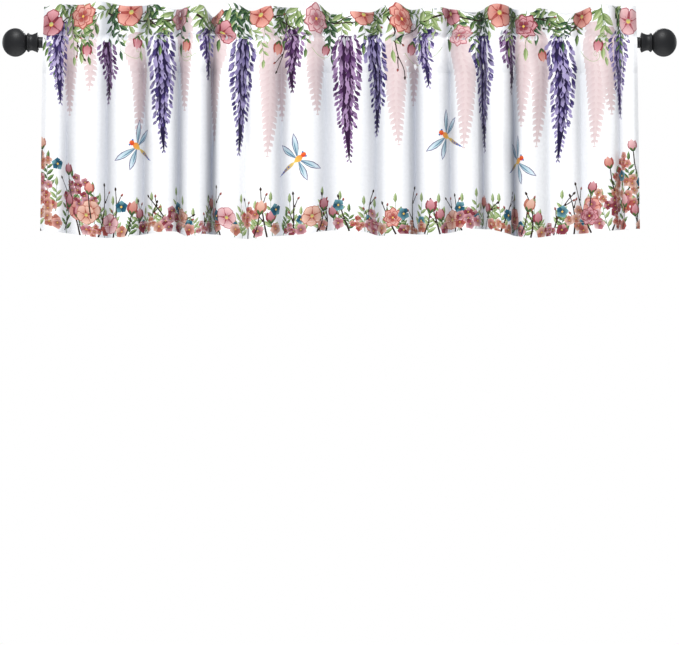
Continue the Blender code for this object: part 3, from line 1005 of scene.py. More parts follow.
def draw_bloom(at, radius, tone, kind, chance):
    at = np.array(at, float)
    if kind == "open":
        wild_rose(at, radius, chance.uniform(0, FIFTH_TURN), tone, chance)
    elif kind == "full":
        full_rose(at, radius, chance.uniform(0, SEVENTH_TURN), tone, chance)
    elif kind == "cluster":
        cluster(at, radius, tone, chance)
    elif kind == "small":
        floret(at, radius, chance.uniform(0, FIFTH_TURN), tone, chance)
    else:
        bud(at, -90 + chance.uniform(-25, 25), radius, tone, chance)


# The border along the foot is laid in stations. Each has a spray, a branch and a few flowers or a
# gap, and it climbs higher towards both ends of the cloth.
STATION = 47.0
END_RISE = 112.0
END_REACH = 170.0
FOOT_KINDS = ("cluster", "buds", "gap", "open", "buds", "gap", "cluster", "full", "gap", "buds", "open")
FOOT_TONES = ("salmon", "rose", "coral", "blush", "coral", "salmon", "rose")
FOOT_RADIUS = {"cluster": 22, "open": 22, "full": 21}
BLUE_EVERY = 3
TALL_LIFT = 30.0
RAISED_LIFT = 16.0
RAISED_BLOOMS = ((1.1, 19), (0.62, 20), (0.24, 21))


def end_lift(u):
    """How much higher the foot's border stands near the ends of the cloth."""
    return END_RISE * max(0, 1 - min(u, CLOTH_WIDTH - u) / END_REACH)


def bud_on_stem(u, rise, lean, length, tone, chance):
    """A bud on a brown stem that comes up from the border."""
    foot = np.array([u - lean * 0.6, max(2, rise - 46)])
    at = np.array([u, rise])
    stroke([foot, foot * 0.5 + at * 0.5 + (lean * 0.12, 0), at], 3.0, 2.2, TWIG)
    bud(at, 90 - lean * 0.5 + chance.uniform(-12, 12), length, tone, chance)


def draw_foot(chance):
    count = round(CLOTH_WIDTH / STATION)
    places = [(index + 0.5) * CLOTH_WIDTH / count + chance.uniform(-9, 9) for index in range(count)]
    for index, u in enumerate(places):
        lift = end_lift(u)
        lean = chance.uniform(-34, 34)
        tone = ("spring", "leaf", "spring")[index % 3]
        spray((u + 16, 1 + lift * 0.4), 90 - lean, 50 + chance.uniform(0, 22), lean, 26, 3, "spring")
        spray((u - 18, -2), 90 + lean, 40 + lift * 0.5, -lean, 24, 3, tone)
        if lift > TALL_LIFT:
            spray((u, lift * 0.8), 90 + lean, 64, -lean * 2, 25, 4, "leaf")
    for u in places:
        lean = chance.uniform(-38, 38)
        tall = chance.uniform(58, 96) + end_lift(u)
        twig((u + chance.uniform(-16, 16), 0), 90 + lean * 0.7, tall, chance.uniform(-50, 50))
    for index, u in enumerate(places):
        draw_station(u, index, chance)


def draw_station(u, index, chance):
    lift = end_lift(u)
    kind = FOOT_KINDS[index % len(FOOT_KINDS)]
    tone = FOOT_TONES[index % len(FOOT_TONES)]
    if lift > RAISED_LIFT:
        for share, radius in RAISED_BLOOMS:
            at = (u + chance.uniform(-16, 16), 34 + lift * share)
            high_kind = chance.choice(("cluster", "open", "cluster"))
            draw_bloom(at, radius, chance.choice(FOOT_TONES), high_kind, chance)
        bud_on_stem(u + chance.uniform(-18, 18), 44 + lift * 1.2, chance.uniform(-20, 20), 27, tone, chance)
    if kind == "buds":
        bud_on_stem(u - 11, 40 + chance.uniform(0, 14), 20, 30, tone, chance)
        bud_on_stem(u + 13, 22 + chance.uniform(0, 10), -16, 28, "rose", chance)
    elif kind != "gap":
        draw_bloom((u, 26 + chance.uniform(-4, 16)), FOOT_RADIUS[kind], tone, kind, chance)
    between = u + STATION / 2 + chance.uniform(-5, 5)
    if index % BLUE_EVERY == 0:
        draw_bloom((between, 44 + lift + chance.uniform(-10, 18)), 13, "blue", "small", chance)
    if index % BLUE_EVERY == 1:
        draw_bloom((between, 24 + lift * 0.7 + chance.uniform(-6, 6)), 10, "blue", "small", chance)
    small_tone = FOOT_TONES[(index + 2) % len(FOOT_TONES)]
    draw_bloom((between, 10 + chance.uniform(-4, 8)), 13, small_tone, "small", chance)
    if kind == "gap":
        draw_bloom((u, 12 + chance.uniform(-2, 6)), 14, small_tone, "cluster", chance)


PRINT_SEED = 20


def draw_print():
    chance = random.Random(PRINT_SEED)
    draw_top(chance)
    draw_foot(chance)
    for u, v, angle, size in DRAGONFLIES:
        dragonfly(np.array([u, v], float), angle, size)


# How the print's shapes and the cloth's grid are cut into triangles. The cloth's length is squeezed
# while they are cut, so that the triangles stand upright along the folds. The grid's steps are in
# millimetres, its turns in degrees, and the longest edge in columns of the grid.
SQUEEZE = 0.25
GRID_STEP = 13.0
GRID_TURN = 37.0
TURN_ROWS = (0.1, 0.6)
POCKET_ROW = 30.0
GRID_ROW = 30.0
GRID_ROW_LEAST = 6.0
ROW_TURN = 21.0
ROW_TURN_SHARE = 85
TOP_FOLD = 8.0
TOP_ROUND = 1.3
LONGEST_EDGE = 0.7
ROW_SAMPLES = 41
BACK_PRINT = 0.26
ON_EDGE = 0.01
MERGE_REACH = 0.08
SHAPE_MERGE = 0.25
BORDER_REACH = 0.6
CLEAR_OF_PRINT = 3.0


def grid_columns():
    """The grid's u lines, closer together where the folds turn."""
    sharpest = np.zeros(len(U_LINES))
    panel_rows = [MARKS_V["pocket_front"] * share for share in TURN_ROWS]
    for v in (*panel_rows, MARKS_V["header_front"] - POCKET_ROW):
        row = SURFACE[np.searchsorted(V_LINES, v)]
        heading = np.unwrap(np.arctan2(np.gradient(row[:, 1]), np.gradient(row[:, 0])))
        sharpest = np.maximum(sharpest, np.abs(np.gradient(heading, U_LINES)))
    density = 1 / GRID_STEP + sharpest / math.radians(GRID_TURN)
    wanted = np.concatenate([[0], np.cumsum((density[1:] + density[:-1]) / 2 * U_STEP)])
    return np.interp(np.linspace(0, wanted[-1], round(wanted[-1]) + 1), wanted, U_LINES)


def grid_rows():
    """The grid's v lines: each edge, seam and fold, each side of a seam's dent, and more between
    where the cloth bends. The second value says which of them no triangle may cross.
    """
    seams = [MARKS_V[name] for name in SEAMS]
    beside = [seam + side * SEAM_DENT_WIDTH for seam in seams for side in (-1, 1)]
    top = [V_TOP - TOP_ROUND, V_TOP, V_TOP + TOP_ROUND]
    needed = sorted([0, *seams, *beside, *top, HEM_DEPTH, V_END])
    along = np.gradient(KEY_ROWS, axis=0)
    heading = np.unwrap(np.arctan2(along[..., 2], along[..., 1]), axis=0)
    turn = np.percentile(np.abs(np.diff(heading, axis=0)), ROW_TURN_SHARE, axis=1) / np.diff(KEY_V)
    between = (KEY_V[1:] + KEY_V[:-1]) / 2
    turn[np.abs(between - V_TOP) < TOP_FOLD] = 0
    kept = []
    for low, high in zip(needed[:-1], needed[1:]):
        fine = np.linspace(low, high, ROW_SAMPLES)
        density = 1 / GRID_ROW + np.interp(fine, between, turn) / math.radians(ROW_TURN)
        wanted = np.concatenate([[0], np.cumsum(density[1:] * np.diff(fine))])
        count = max(1, round(wanted[-1]))
        if high - low < GRID_ROW_LEAST:
            count = 1
        kept += list(np.interp(np.linspace(0, wanted[-1], count + 1)[:-1], wanted, fine))
    kept.append(V_END)
    return np.array(kept), [index for index, v in enumerate(kept) if v in top]


def squeezed(points):
    return [Vector((u, v * SQUEEZE)) for u, v in points]


def straightened(points, border):
    """The points kept inside the cloth, with those of its border put back on its four sides."""
    sides = np.array([0, CLOTH_WIDTH, 0, V_END])
    kept = []
    for index, (u, v) in enumerate(points):
        away = np.abs((u, u, v, v) - sides)
        for side in np.nonzero(away < BORDER_REACH)[0] if index not in border else [away.argmin()]:
            if side < 2:
                u = sides[side]
            else:
                v = sides[side]
        kept.append((min(max(u, 0), CLOTH_WIDTH), min(max(v, 0), V_END)))
    return kept


def within(outline, places):
    """Which places lie within a closed outline, which may run over itself."""
    ends = np.roll(outline, -1, axis=0)
    x, y = places[:, :1], places[:, 1:]
    crosses = (ends[:, 1] > y).astype(int) - (outline[:, 1] > y)
    rise = ends[:, 1] - outline[:, 1]
    share = (y - outline[:, 1]) / np.where(rise == 0, 1, rise)
    ahead = x < outline[:, 0] + share * (ends[:, 0] - outline[:, 0])
    return (crosses * ahead).sum(axis=1) != 0


def uppermost_shapes(shapes, places):
    """The number, from 1, of the shape that lies uppermost at each place, or 0 for the ground."""
    order = np.argsort(places[:, 0])
    across = places[order, 0]
    found = np.zeros(len(places), int)
    for number, shape in enumerate(shapes, 1):
        low, high = shape.points.min(axis=0), shape.points.max(axis=0)
        near = order[np.searchsorted(across, low[0]):np.searchsorted(across, high[0])]
        near = near[(places[near, 1] > low[1]) & (places[near, 1] < high[1])]
        found[near[within(shape.points, places[near])]] = number
    return found


def visible_edges(shapes):
    """Points, the edges between them where the uppermost shape changes, and the border's points."""
    cloth = np.array([(0, 0), (CLOTH_WIDTH, 0), (CLOTH_WIDTH, V_END), (0, V_END)])
    points, lines = [], []
    for outline in [cloth, *(shape.points for shape in shapes)]:
        first = len(points)
        points += [Vector(point) for point in outline]
        lines += [(first + step, first + (step + 1) % len(outline)) for step in range(len(outline))]
    made = delaunay_2d_cdt(points, lines, [], 0, SHAPE_MERGE, True)
    flat = np.array([tuple(point) for point in made[0]])
    middles = flat[np.array(made[2])].mean(axis=1)
    tops = np.where(within(cloth, middles), uppermost_shapes(shapes, middles), -1)
    on_left = {}
    for face, top in zip(made[2], tops):
        if top >= 0:
            for start, end in zip(face, face[1:] + face[:1]):
                on_left[start, end] = top
    edges = [edge for edge, top in on_left.items() if top > on_left.get(edge[::-1], -1)]
    border = {end for edge in on_left if edge[::-1] not in on_left for end in edge}
    return squeezed(straightened(flat, border)), edges, border


def split(edges, points, border, columns):
    """The edges, those that run far across the grid's columns in pieces, whose ends join the points."""
    column = np.interp([point.x for point in points], columns, np.arange(len(columns)))
    pieces = []
    for start, end in edges:
        across = 0 if start in border and end in border else abs(column[end] - column[start])
        count = 1 + int(across / LONGEST_EDGE)
        stops = [start]
        for step in range(1, count):
            points.append(points[start].lerp(points[end], step / count))
            stops.append(len(points) - 1)
        stops.append(end)
        pieces += zip(stops[:-1], stops[1:])
    return pieces


def grid_points(printed, columns, rows, firm_rows):
    """The grid's points, apart from those that the print's own points make needless."""
    tree = KDTree(len(printed))
    for index, point in enumerate(printed):
        tree.insert((point.x, point.y / SQUEEZE, 0), index)
    tree.balance()
    kept = []
    for row, v in enumerate(rows):
        for u in columns:
            inside = 0 < row < len(rows) - 1 and 0 < u < CLOTH_WIDTH and row not in firm_rows
            if not inside or tree.find((u, v, 0))[2] > CLEAR_OF_PRINT:
                kept.append((u, v))
    return squeezed(kept)


def cut(shapes, columns, rows, firm_rows):
    """Flat points, triangles, and the shape that lies uppermost on each triangle (0 is the ground)."""
    points, edges, border = visible_edges(shapes)
    used = sorted({end for edge in edges for end in edge})
    place = {old: new for new, old in enumerate(used)}
    points = [points[old] for old in used]
    edges = [(place[start], place[end]) for start, end in edges]
    lines = split(edges, points, {place[end] for end in border if end in place}, columns)
    points += grid_points(points, columns, rows, firm_rows)
    for row in firm_rows:
        points += squeezed([(0, rows[row]), (CLOTH_WIDTH, rows[row])])
        lines.append((len(points) - 2, len(points) - 1))
    made = delaunay_2d_cdt(points, lines, [], 0, MERGE_REACH, True)
    flat = np.array([tuple(point) for point in made[0]])
    flat[:, 1] /= SQUEEZE
    triangles = np.array(made[2])
    return flat, triangles, uppermost_shapes(shapes, flat[triangles].mean(axis=1))


def shape_colours(shapes, flat, triangles, uppermost):
    """The colour of each triangle's corners, from the shape that it lies in."""
    nothing = np.zeros(2)
    table = [Shape(None, nothing, nothing + 1, GROUND, GROUND), *shapes]
    start = np.array([shape.start for shape in table])[uppermost][:, None]
    run = np.array([shape.end - shape.start for shape in table])[uppermost][:, None]
    low = np.array([shape.low for shape in table])[uppermost][:, None]
    high = np.array([shape.high for shape in table])[uppermost][:, None]
    share = ((flat[triangles] - start) * run).sum(axis=2) / (run * run).sum(axis=2)
    share = np.clip(share, 0, 1)[..., None]
    return low * (1 - share) + high * share


def edge_loop(flat):
    """The flat points on the cloth's edge in order round it, and how far round each one is."""
    u, v = flat.T
    sides = (
        (v < ON_EDGE, u),
        (u > CLOTH_WIDTH - ON_EDGE, CLOTH_WIDTH + v),
        (v > V_END - ON_EDGE, CLOTH_WIDTH + V_END + CLOTH_WIDTH - u),
        (u < ON_EDGE, 2 * CLOTH_WIDTH + V_END + V_END - v),
    )
    order, far = [], []
    for on_side, distance in sides:
        found = np.nonzero(on_side)[0]
        found = found[np.argsort(distance[found])][:-1]
        order.extend(found)
        far.extend(distance[found])
    return [*order, order[0]], [*far, 2 * (CLOTH_WIDTH + V_END)]


def rim(face_flat, back_flat):
    """Triangles that close the cloth's edge between its face and its back."""
    face, face_far = edge_loop(face_flat)
    back, back_far = edge_loop(back_flat)
    shift = len(face_flat)
    i = j = 0
    found = []
    while i < len(face) - 1 or j < len(back) - 1:
        if j == len(back) - 1 or (i < len(face) - 1 and face_far[i + 1] <= back_far[j + 1]):
            found.append((face[i + 1], face[i], back[j] + shift))
            i += 1
        else:
            found.append((back[j] + shift, back[j + 1] + shift, face[i]))
            j += 1
    return np.array(found)


# The hems' turned-in layers, on the back of the cloth where it hangs single
HEM_LAYERS = 0.9
HEM_STEP = 1.5
EDGE_HALF = EDGE_THICKNESS / 2
MIDDLE_HALF = SHEET_THICKNESS / 2
THINS_OVER = 10.0
HEADER_THIN = 66.0


def hem_bulk(u, v):
    """How much thicker the cloth is at its foot and side hems."""
    foot = np.clip((HEM_DEPTH - v) / HEM_STEP, 0, 1)
    edge = np.minimum(u, CLOTH_WIDTH - u)
    side = np.clip((SIDE_HEM - edge) / HEM_STEP, 0, 1)
    single = np.clip((MARKS_V["pocket_front"] - SEAM_ALLOWANCE * 2 - v) / SEAM_ALLOWANCE, 0, 1)
    return HEM_LAYERS * np.maximum(foot, side * single)


def placed(flat, side):
    """Where flat points lie in space on the cloth's face (1) or back (-1), and their normals."""
    u, v = flat.T
    normals = on_cloth(NORMALS, u, v)
    normals /= np.linalg.norm(normals, axis=1, keepdims=True)
    inward = np.minimum(np.minimum(u, CLOTH_WIDTH - u), np.minimum(v, V_END - v))
    inward = np.minimum(inward, np.abs(v - V_TOP) - HEADER_THIN) / THINS_OVER
    away = EDGE_HALF + (MIDDLE_HALF - EDGE_HALF) * np.clip(inward, 0, 1)
    if side < 0:
        away = away + hem_bulk(u, v)
    return on_cloth(SURFACE, u, v) + side * normals * away[:, None], side * normals


def set_inputs(node, values):
    for name, value in values.items():
        node.inputs[name].default_value = value


def add_node(tree, kind, values=None, **settings):
    """A new node of a tree, with its settings and the values of its inputs."""
    node = tree.nodes.new("ShaderNode" + kind)
    for name, value in settings.items():
        setattr(node, name, value)
    set_inputs(node, values or {})
    return node


def join(tree, source, output, target, entry):
    tree.links.new(source.outputs[output], target.inputs[entry])


def new_material(name, values):
    """A material, its tree and its shader, whose inputs have these values."""
    made = bpy.data.materials.new(name)
    made.use_nodes = True
    shader = made.node_tree.nodes["Principled BSDF"]
    set_inputs(shader, values)
    return made, made.node_tree, shader


def add_bump(tree, shader, source, output, strength, distance):
    """Raises the surface a little where a node's output is high."""
    bump = add_node(tree, "Bump", {"Strength": strength, "Distance": distance * MM})
    join(tree, source, output, bump, "Height")
    join(tree, bump, "Normal", shader, "Normal")


def new_mesh(name, points, faces):
    """A smooth mesh from points in millimetres."""
    mesh = bpy.data.meshes.new(name)
    mesh.from_pydata((np.array(points) * MM).tolist(), [], faces)
    mesh.shade_smooth()
    return mesh


def into_scene(name, data):
    made = bpy.data.objects.new(name, data)
    bpy.context.scene.collection.objects.link(made)
    return made


THREAD_PITCH = 0.45 * MM
# The angle in radians that a wave texture of scale 1 turns in a unit
WAVE_TURN = 20
# The blue-grey that the painted fold shade multiplies into the cloth's colour
FOLD_SHADE_COLOUR = (0.03, 0.06, 0.14, 1)


def cloth_material():
    """Light plain-woven cloth: its print, the soft shade of its folds, and its crossed threads."""
    finish = {"Roughness": 0.78, "Specular IOR Level": 0.25, "Sheen Weight": 0.08, "Sheen Roughness": 0.5}
    made, tree, shader = new_material("printed_cloth", finish)
    place = add_node(tree, "UVMap", uv_map="flat")
    wash = add_node(tree, "TexNoise", {"Scale": 160, "Detail": 3})
    join(tree, place, "UV", wash, "Vector")
    grain = add_node(tree, "MapRange", {"To Min": 0.93, "To Max": 1.07})
    join(tree, wash, "Fac", grain, "Value")
    ink = add_node(tree, "Attribute", attribute_name="print")
    washed = add_node(tree, "Mix", {"Factor": 1}, data_type="RGBA", blend_type="MULTIPLY")
    join(tree, ink, "Color", washed, "A")
    join(tree, grain, "Result", washed, "B")
    # Painted shade: the fold_shade attribute darkens the base colour in the folds' valleys
    shade = add_node(tree, "Attribute", attribute_name="fold_shade")
    shaded = add_node(tree, "Mix", {"B": FOLD_SHADE_COLOUR}, data_type="RGBA", blend_type="MULTIPLY")
    join(tree, shade, "Fac", shaded, "Factor")
    join(tree, washed, "Result", shaded, "A")
    join(tree, shaded, "Result", shader, "Base Color")
    weave = add_node(tree, "Math", operation="MAXIMUM")
    threads = {"Scale": math.tau / (WAVE_TURN * THREAD_PITCH), "Distortion": 0.4}
    for entry, direction in enumerate(("X", "Y")):
        wave = add_node(tree, "TexWave", threads, bands_direction=direction)
        join(tree, place, "UV", wave, "Vector")
        join(tree, wave, "Fac", weave, entry)
    add_bump(tree, shader, weave, "Value", 0.25, 0.05)
    return made


def thread_material():
    """White sewing thread with a fine twist."""
    made, tree, shader = new_material("white_thread", {"Base Color": (*GROUND, 1), "Roughness": 0.6})
    add_bump(tree, shader, add_node(tree, "TexNoise", {"Scale": 3000}), "Fac", 0.3, 0.05)
    return made


# The bake map's bands for the cloth's face and back, each as its start and its height, and the small
# triangle in its corner that every triangle of the cloth's edge lies on
FACE_MAP = (0.31, 0.68)
BACK_MAP = (0.01, 0.28)
MAP_MARGIN = 0.012
EDGE_MAP = ((0.002, 0.002), (0.008, 0.002), (0.005, 0.008))


def map_places(flat, span):
    """Places on the bake map for flat points, in a band of it."""
    across = MAP_MARGIN + (1 - 2 * MAP_MARGIN) * flat[:, 0] / CLOTH_WIDTH
    return np.stack([across, span[0] + span[1] * flat[:, 1] / V_END], axis=1)


def make_cloth():
    grid = (grid_columns(), *grid_rows())
    face_flat, face_triangles, face_top = cut(drawing.face, *grid)
    back_flat, back_triangles, back_top = cut(drawing.back, *grid)
    face_points, face_normals = placed(face_flat, 1)
    back_points, back_normals = placed(back_flat, -1)
    edge = rim(face_flat, back_flat)
    shift = len(face_flat)
    triangles = np.concatenate([face_triangles, back_triangles[:, ::-1] + shift, edge])
    mesh = new_mesh("valance", np.concatenate([face_points, back_points]), triangles.tolist())
    corners = triangles.ravel()
    inks = shape_colours(drawing.face, face_flat, face_triangles, face_top)
    through = shape_colours(drawing.back, back_flat, back_triangles, back_top)
    through = GROUND * (1 - BACK_PRINT) + through * BACK_PRINT
    bare = np.broadcast_to(GROUND, (len(edge), 3, 3))
    inks = np.concatenate([inks, through[:, ::-1], bare]).reshape(-1, 3)
    layer = mesh.color_attributes.new("print", "FLOAT_COLOR", "CORNER")
    layer.data.foreach_set("color", np.column_stack([inks, np.ones(len(inks))]).ravel())
    shade = [on_cloth(SHADES[..., side], *flat.T) for side, flat in enumerate((face_flat, back_flat))]
    mesh.attributes.new("fold_shade", "FLOAT", "POINT").data.foreach_set("value", np.concatenate(shade))
    flat = np.concatenate([face_flat, back_flat])
    mesh.uv_layers.new(name="flat").uv.foreach_set("vector", (flat[corners] * MM).ravel())
    bake = np.concatenate([map_places(face_flat, FACE_MAP), map_places(back_flat, BACK_MAP)])[corners]
    bake[-3 * len(edge):] = np.tile(EDGE_MAP, (len(edge), 1))
    mesh.uv_layers.new(name="OFBake").uv.foreach_set("vector", bake.ravel())
    normals = np.concatenate([face_normals, back_normals])[corners]
    normals[-3 * len(edge):] = 0
    mesh.normals_split_custom_set(normals.tolist())
    mesh.materials.append(cloth_material())
    return into_scene("valance", mesh)


# The machine stitches along the seams and hems
STITCH_PITCH = 3.3
STITCH_LENGTH = 2.4
STITCH_WIDTH = 0.42
STITCH_HEIGHT = 0.3
STITCH_INSET = 2.2
STITCH_WAVER = 0.15
STITCH_LIFT = 0.3
STITCH_SEED = 7
# A stitch's ten corners: how far along, across and up each is, as shares of its sizes
STITCH_CORNERS = np.array(
    [(-0.5, 0, 0)]
    + [(end, side, up) for end in (-0.36, 0.36) for side, up in ((-0.5, 0), (0, -0.5), (0.5, 0), (0, 0.5))]
    + [(0.5, 0, 0)]
)


def stitch_faces():
    """A stitch's triangles: corners 0 and 9 are its ends, 1 to 4 and 5 to 8 go round it."""
    faces = []
    for turn in range(4):
        after = (turn + 1) % 4
        faces.append((0, 1 + after, 1 + turn))
        faces.append((1 + turn, 1 + after, 5 + after))
        faces.append((1 + turn, 5 + after, 5 + turn))
        faces.append((9, 5 + turn, 5 + after))
    return np.array(faces)


def stitch_line(start, end, side, chance):
    """Stitches from one flat point to another, on the cloth's face (1) or back (-1)."""
    start, end = np.array(start, float), np.array(end, float)
    count = int(np.linalg.norm(end - start) / STITCH_PITCH)
    share = (np.arange(count) + 0.5)[:, None] / count
    flat = start + (end - start) * share
    flat += np.array([[chance.uniform(-STITCH_WAVER, STITCH_WAVER) for _ in range(2)] for _ in flat])
    ahead = (end - start) / np.linalg.norm(end - start)
    middle, normals = placed(flat, side)
    along = placed(flat + ahead, side)[0] - placed(flat - ahead, side)[0]
    along /= np.linalg.norm(along, axis=1, keepdims=True)
    across = np.cross(normals, along)
    sizes = STITCH_CORNERS * (STITCH_LENGTH, STITCH_WIDTH, STITCH_HEIGHT)
    axes = np.stack([along, across, normals], axis=1)
    lifted = middle + normals * STITCH_HEIGHT * STITCH_LIFT
    return lifted[:, None] + np.einsum("ck,nkx->ncx", sizes, axes)


def make_stitching():
    chance = random.Random(STITCH_SEED)
    ends = (STITCH_INSET, CLOTH_WIDTH - STITCH_INSET)
    lines = []
    for seam in SEAMS:
        lines.append(((ends[0], MARKS_V[seam]), (ends[1], MARKS_V[seam]), 1))
    for side in (1, -1):
        hem = HEM_DEPTH - STITCH_INSET
        lines.append(((ends[0], hem), (ends[1], hem), side))
        for u in (SIDE_HEM - STITCH_INSET, CLOTH_WIDTH - SIDE_HEM + STITCH_INSET):
            lines.append(((u, hem + STITCH_PITCH), (u, MARKS_V["pocket_front"] - STITCH_PITCH * 3), side))
    stitches = np.concatenate([stitch_line(*line, chance) for line in lines])
    corners = np.arange(len(stitches))[:, None, None] * len(STITCH_CORNERS)
    faces = (corners + stitch_faces()).reshape(-1, 3)
    mesh = new_mesh("stitching", stitches.reshape(-1, 3), faces.tolist())
    mesh.materials.append(thread_material())
    return into_scene("stitching", mesh)


# The rod and its finials, in millimetres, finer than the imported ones
ROD_WALL = 1.0
ROD_HALF = 604.0
NECK_LENGTH = 25.4
NECK_SEAT_RADIUS = 14.6
NECK_EDGE = 1.2
WAIST_RADIUS = 16.2
BEAD_RADIUS = 19.2
WAIST_DIP = 1.6
BEAD_DEPTH = 2.4
BEAD_HALF_WIDTH = 2.5
BEAD_HEIGHT = 21.2
RIM_RADIUS = 20.1
RIM_FOOT_RADIUS = 14.8
FLARE_TOP = 10.5
FLARE_FOOT = 3.0
PLUG_LENGTH = 28.0
PLUG_BEVEL = 1.0
STUD_RADIUS = 4.0
STUD_LENGTH = 11.0
BALL_RADIUS = 28.7
BALL_HALF_WIDTH = 26.4
BALL_CENTRE = 651.5
GAP = 0.3
ROUND_STEPS = 96
BALL_STEPS = 48
ARC_STEPS = 12
SHARP_ANGLE = 32
MERGE_DISTANCE = 0.01 * MM
EASE = 0.35


def arc(centre, radii, start, end, steps):
    """Points (radius, height) on an ellipse's arc, by angles in degrees from +radius towards +height."""
    angles = np.radians(np.linspace(start, end, steps + 1))
    return [(centre[0] + radii[0] * math.cos(a), centre[1] + radii[1] * math.sin(a)) for a in angles]


def neck_profile():
    """The neck from its stud's end down to its plug's end, with the rod's end at height 0."""
    plug = ROD_RADIUS - ROD_WALL - GAP
    bead = (BEAD_RADIUS - BEAD_DEPTH, BEAD_HEIGHT)
    waist_top = BEAD_HEIGHT - BEAD_HALF_WIDTH
    hollow = (WAIST_RADIUS + WAIST_DIP, (FLARE_TOP + waist_top) / 2)
    return [
        (0, NECK_LENGTH + STUD_LENGTH),
        (STUD_RADIUS, NECK_LENGTH + STUD_LENGTH),
        (STUD_RADIUS, NECK_LENGTH),
        (NECK_SEAT_RADIUS, NECK_LENGTH),
        *arc(bead, (BEAD_DEPTH, BEAD_HALF_WIDTH), 80, -80, ARC_STEPS),
        *arc(hollow, (WAIST_DIP, (waist_top - FLARE_TOP) / 2), 130, 230, ARC_STEPS),
        (RIM_RADIUS - NECK_EDGE * EASE, FLARE_FOOT + NECK_EDGE),
        *arc((RIM_RADIUS - NECK_EDGE, FLARE_FOOT), (NECK_EDGE, NECK_EDGE), 40, -30, 4),
        (RIM_FOOT_RADIUS, GAP),
        (plug, GAP),
        (plug, PLUG_BEVEL - PLUG_LENGTH),
        (plug - PLUG_BEVEL, -PLUG_LENGTH),
        (0, -PLUG_LENGTH),
    ]


def ball_profile():
    """The ball from its outer pole down to the flat seat with the stud's socket."""
    seat = ROD_HALF + NECK_LENGTH + GAP - BALL_CENTRE
    lowest = math.degrees(math.asin(seat / BALL_HALF_WIDTH))
    socket = STUD_RADIUS + GAP
    return [
        *arc((0, 0), (BALL_RADIUS, BALL_HALF_WIDTH), 90, lowest, BALL_STEPS),
        (socket, seat),
        (socket, seat + STUD_LENGTH),
        (0, seat + STUD_LENGTH),
    ]


def rod_profile():
    inner = ROD_RADIUS - ROD_WALL
    bevel = ROD_WALL * EASE
    return [
        (inner, ROD_HALF),
        (ROD_RADIUS - bevel, ROD_HALF),
        (ROD_RADIUS, ROD_HALF - bevel),
        (ROD_RADIUS, bevel - ROD_HALF),
        (ROD_RADIUS - bevel, -ROD_HALF),
        (inner, -ROD_HALF),
        (inner, ROD_HALF),
    ]


def satin_black(name, base, roughness):
    """Satin black coating, with a very fine orange-peel surface and slightly uneven gloss."""
    made, tree, shader = new_material(name, {"Metallic": 0.0, "Specular IOR Level": 0.55})
    place = add_node(tree, "TexCoord")
    tone = add_node(tree, "TexNoise", {"Scale": 45, "Detail": 4})
    join(tree, place, "Object", tone, "Vector")
    low, high = [(*[value * share for value in base], 1) for share in (0.8, 1.25)]
    tint = add_node(tree, "Mix", {"A": low, "B": high}, data_type="RGBA")
    join(tree, tone, "Fac", tint, "Factor")
    join(tree, tint, "Result", shader, "Base Color")
    gloss = add_node(tree, "MapRange", {"To Min": roughness - 0.05, "To Max": roughness + 0.06})
    join(tree, tone, "Fac", gloss, "Value")
    join(tree, gloss, "Result", shader, "Roughness")
    peel = add_node(tree, "TexNoise", {"Scale": 900})
    join(tree, place, "Object", peel, "Vector")
    add_bump(tree, shader, peel, "Fac", 0.03, 0.1)
    return made


def turned(name, profile, x, side, material, node):
    """A piece turned about the rod's axis from a (radius, height) profile, heights outward from x."""
    points, rings = [], []
    for radius, height in profile:
        count = 1 if radius == 0 else ROUND_STEPS
        rings.append([len(points) + step for step in range(count)])
        for step in range(count):
            angle = math.tau * step / count
            points.append((side * (x + height), radius * math.cos(angle), radius * math.sin(angle)))
    faces = []
    for upper, lower in zip(rings[:-1], rings[1:]):
        for step in range(ROUND_STEPS):
            after = (step + 1) % ROUND_STEPS
            corners = [upper[step % len(upper)], upper[after % len(upper)]]
            corners += [lower[after % len(lower)], lower[step % len(lower)]]
            faces.append([c for index, c in enumerate(corners) if c not in corners[:index]][:: side])
    mesh = new_mesh(name, points, faces)
    shell = bmesh.new()
    shell.from_mesh(mesh)
    bmesh.ops.remove_doubles(shell, verts=shell.verts, dist=MERGE_DISTANCE)
    bmesh.ops.recalc_face_normals(shell, faces=shell.faces)
    shell.to_mesh(mesh)
    shell.free()
    mesh.shade_smooth()
    mesh.set_sharp_from_angle(angle=math.radians(SHARP_ANGLE))
    mesh.materials.append(material)
    piece = into_scene(name, mesh)
    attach(piece, "root")
    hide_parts(node)


def make_rod():
    coating = satin_black("satin_black_tube", (0.016, 0.016, 0.017), 0.44)
    finial = satin_black("satin_black_finial", (0.010, 0.010, 0.011), 0.5)
    turned("satin_rod", rod_profile(), 0, 1, coating, "curtain_rod")
    for name, side in (("left", -1), ("right", 1)):
        for part, profile, x in (("neck", neck_profile(), ROD_HALF), ("ball", ball_profile(), BALL_CENTRE)):
            end = part + "_" + name
            turned("satin_" + end, profile, x, side, finial, "finial_" + end)


WHITE = (1, 1, 1)


def area_light(name, location, target, size, power, tint=WHITE):
    data = bpy.data.lights.new(name, "AREA")
    data.shape = "DISK"
    data.size = size
    data.energy = power
    data.color = tint
    lamp = into_scene(name, data)
    lamp.location = location
    lamp.rotation_euler = (Vector(target) - Vector(location)).to_track_quat("-Z", "Y").to_euler()
    return lamp


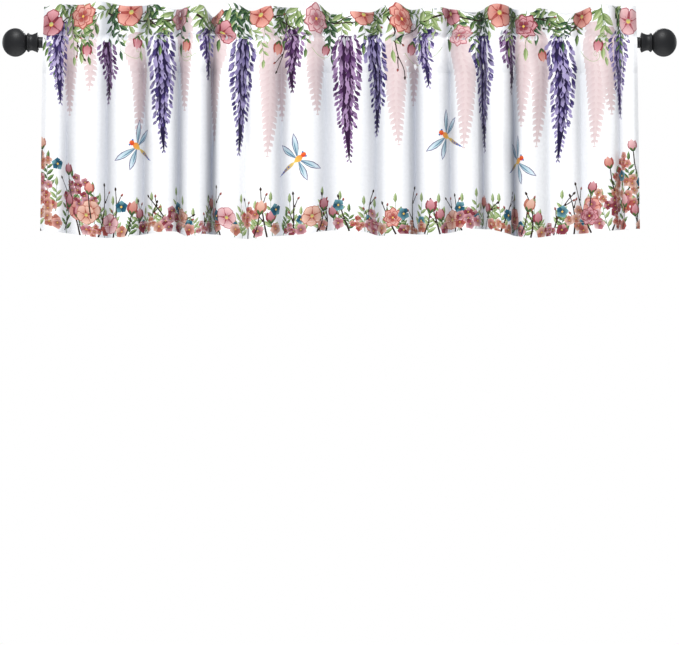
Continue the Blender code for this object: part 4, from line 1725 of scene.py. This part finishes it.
def make_lights():
    """A broad key from the front and a little left, a high fill, one behind and one at each side."""
    cloth_middle = (0, 0, -0.16)
    key = area_light("key", (-0.4, -4.2, 0.2), cloth_middle, size=2.6, power=147, tint=(1, 0.995, 0.98))
    key.visible_glossy = False
    area_light("high_fill", (-0.2, -1.3, 2.6), cloth_middle, size=1.6, power=60)
    area_light("behind", (0.5, 3.4, 0.9), cloth_middle, size=2.0, power=90)
    for side in (-1, 1):
        area_light("side_strip", (side * 2.3, 1.9, 0.3), (side * 0.66, 0, 0), size=0.9, power=5)


def make_world():
    """White behind the object, and a dim, slightly blue light from all round."""
    world = bpy.data.worlds.new("studio")
    bpy.context.scene.world = world
    world.use_nodes = True
    tree = world.node_tree
    tree.nodes.clear()
    out = add_node(tree, "OutputWorld")
    mix = add_node(tree, "MixShader")
    rays = add_node(tree, "LightPath")
    seen = add_node(tree, "Background", {"Color": (*WHITE, 1)})
    ambient = add_node(tree, "Background", {"Color": (0.88, 0.93, 1.0, 1), "Strength": 0.3})
    join(tree, rays, "Is Camera Ray", mix, "Fac")
    join(tree, ambient, "Background", mix, 1)
    join(tree, seen, "Background", mix, 2)
    join(tree, mix, "Shader", out, "Surface")


def make_camera():
    data = bpy.data.cameras.new("camera")
    data.sensor_width = SENSOR
    data.lens = SENSOR * CAMERA_DISTANCE / (PHOTO_WIDTH * MM_PER_PIXEL * MM)
    camera = into_scene("camera", data)
    below_rod = (PHOTO_HEIGHT / 2 - ROD_PIXEL) * MM_PER_PIXEL * MM
    camera.location = (0, -CAMERA_DISTANCE, -below_rod)
    camera.rotation_euler = (math.pi / 2, 0, 0)
    bpy.context.scene.camera = camera


FLOOR_HEIGHT = -1900.0
FLOOR_HALF = 2000.0


def make_floor():
    sides = ((-1, -1), (1, -1), (1, 1), (-1, 1))
    corners = [(x * FLOOR_HALF, y * FLOOR_HALF, FLOOR_HEIGHT) for x, y in sides]
    mesh = new_mesh("floor", corners, [(0, 1, 2, 3)])
    looks = {"Roughness": 0.9, "Base Color": (0.82, 0.82, 0.82, 1)}
    mesh.materials.append(new_material("pale_floor", looks)[0])
    into_scene("floor", mesh)


def main():
    draw_print()
    cloth = make_cloth()
    stitching = make_stitching()
    for piece in (cloth, stitching):
        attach(piece, "root")
    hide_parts("valance_cloth")
    make_rod()
    make_lights()
    make_world()
    make_camera()
    make_floor()
    bpy.context.scene.view_settings.view_transform = "Standard"


main()
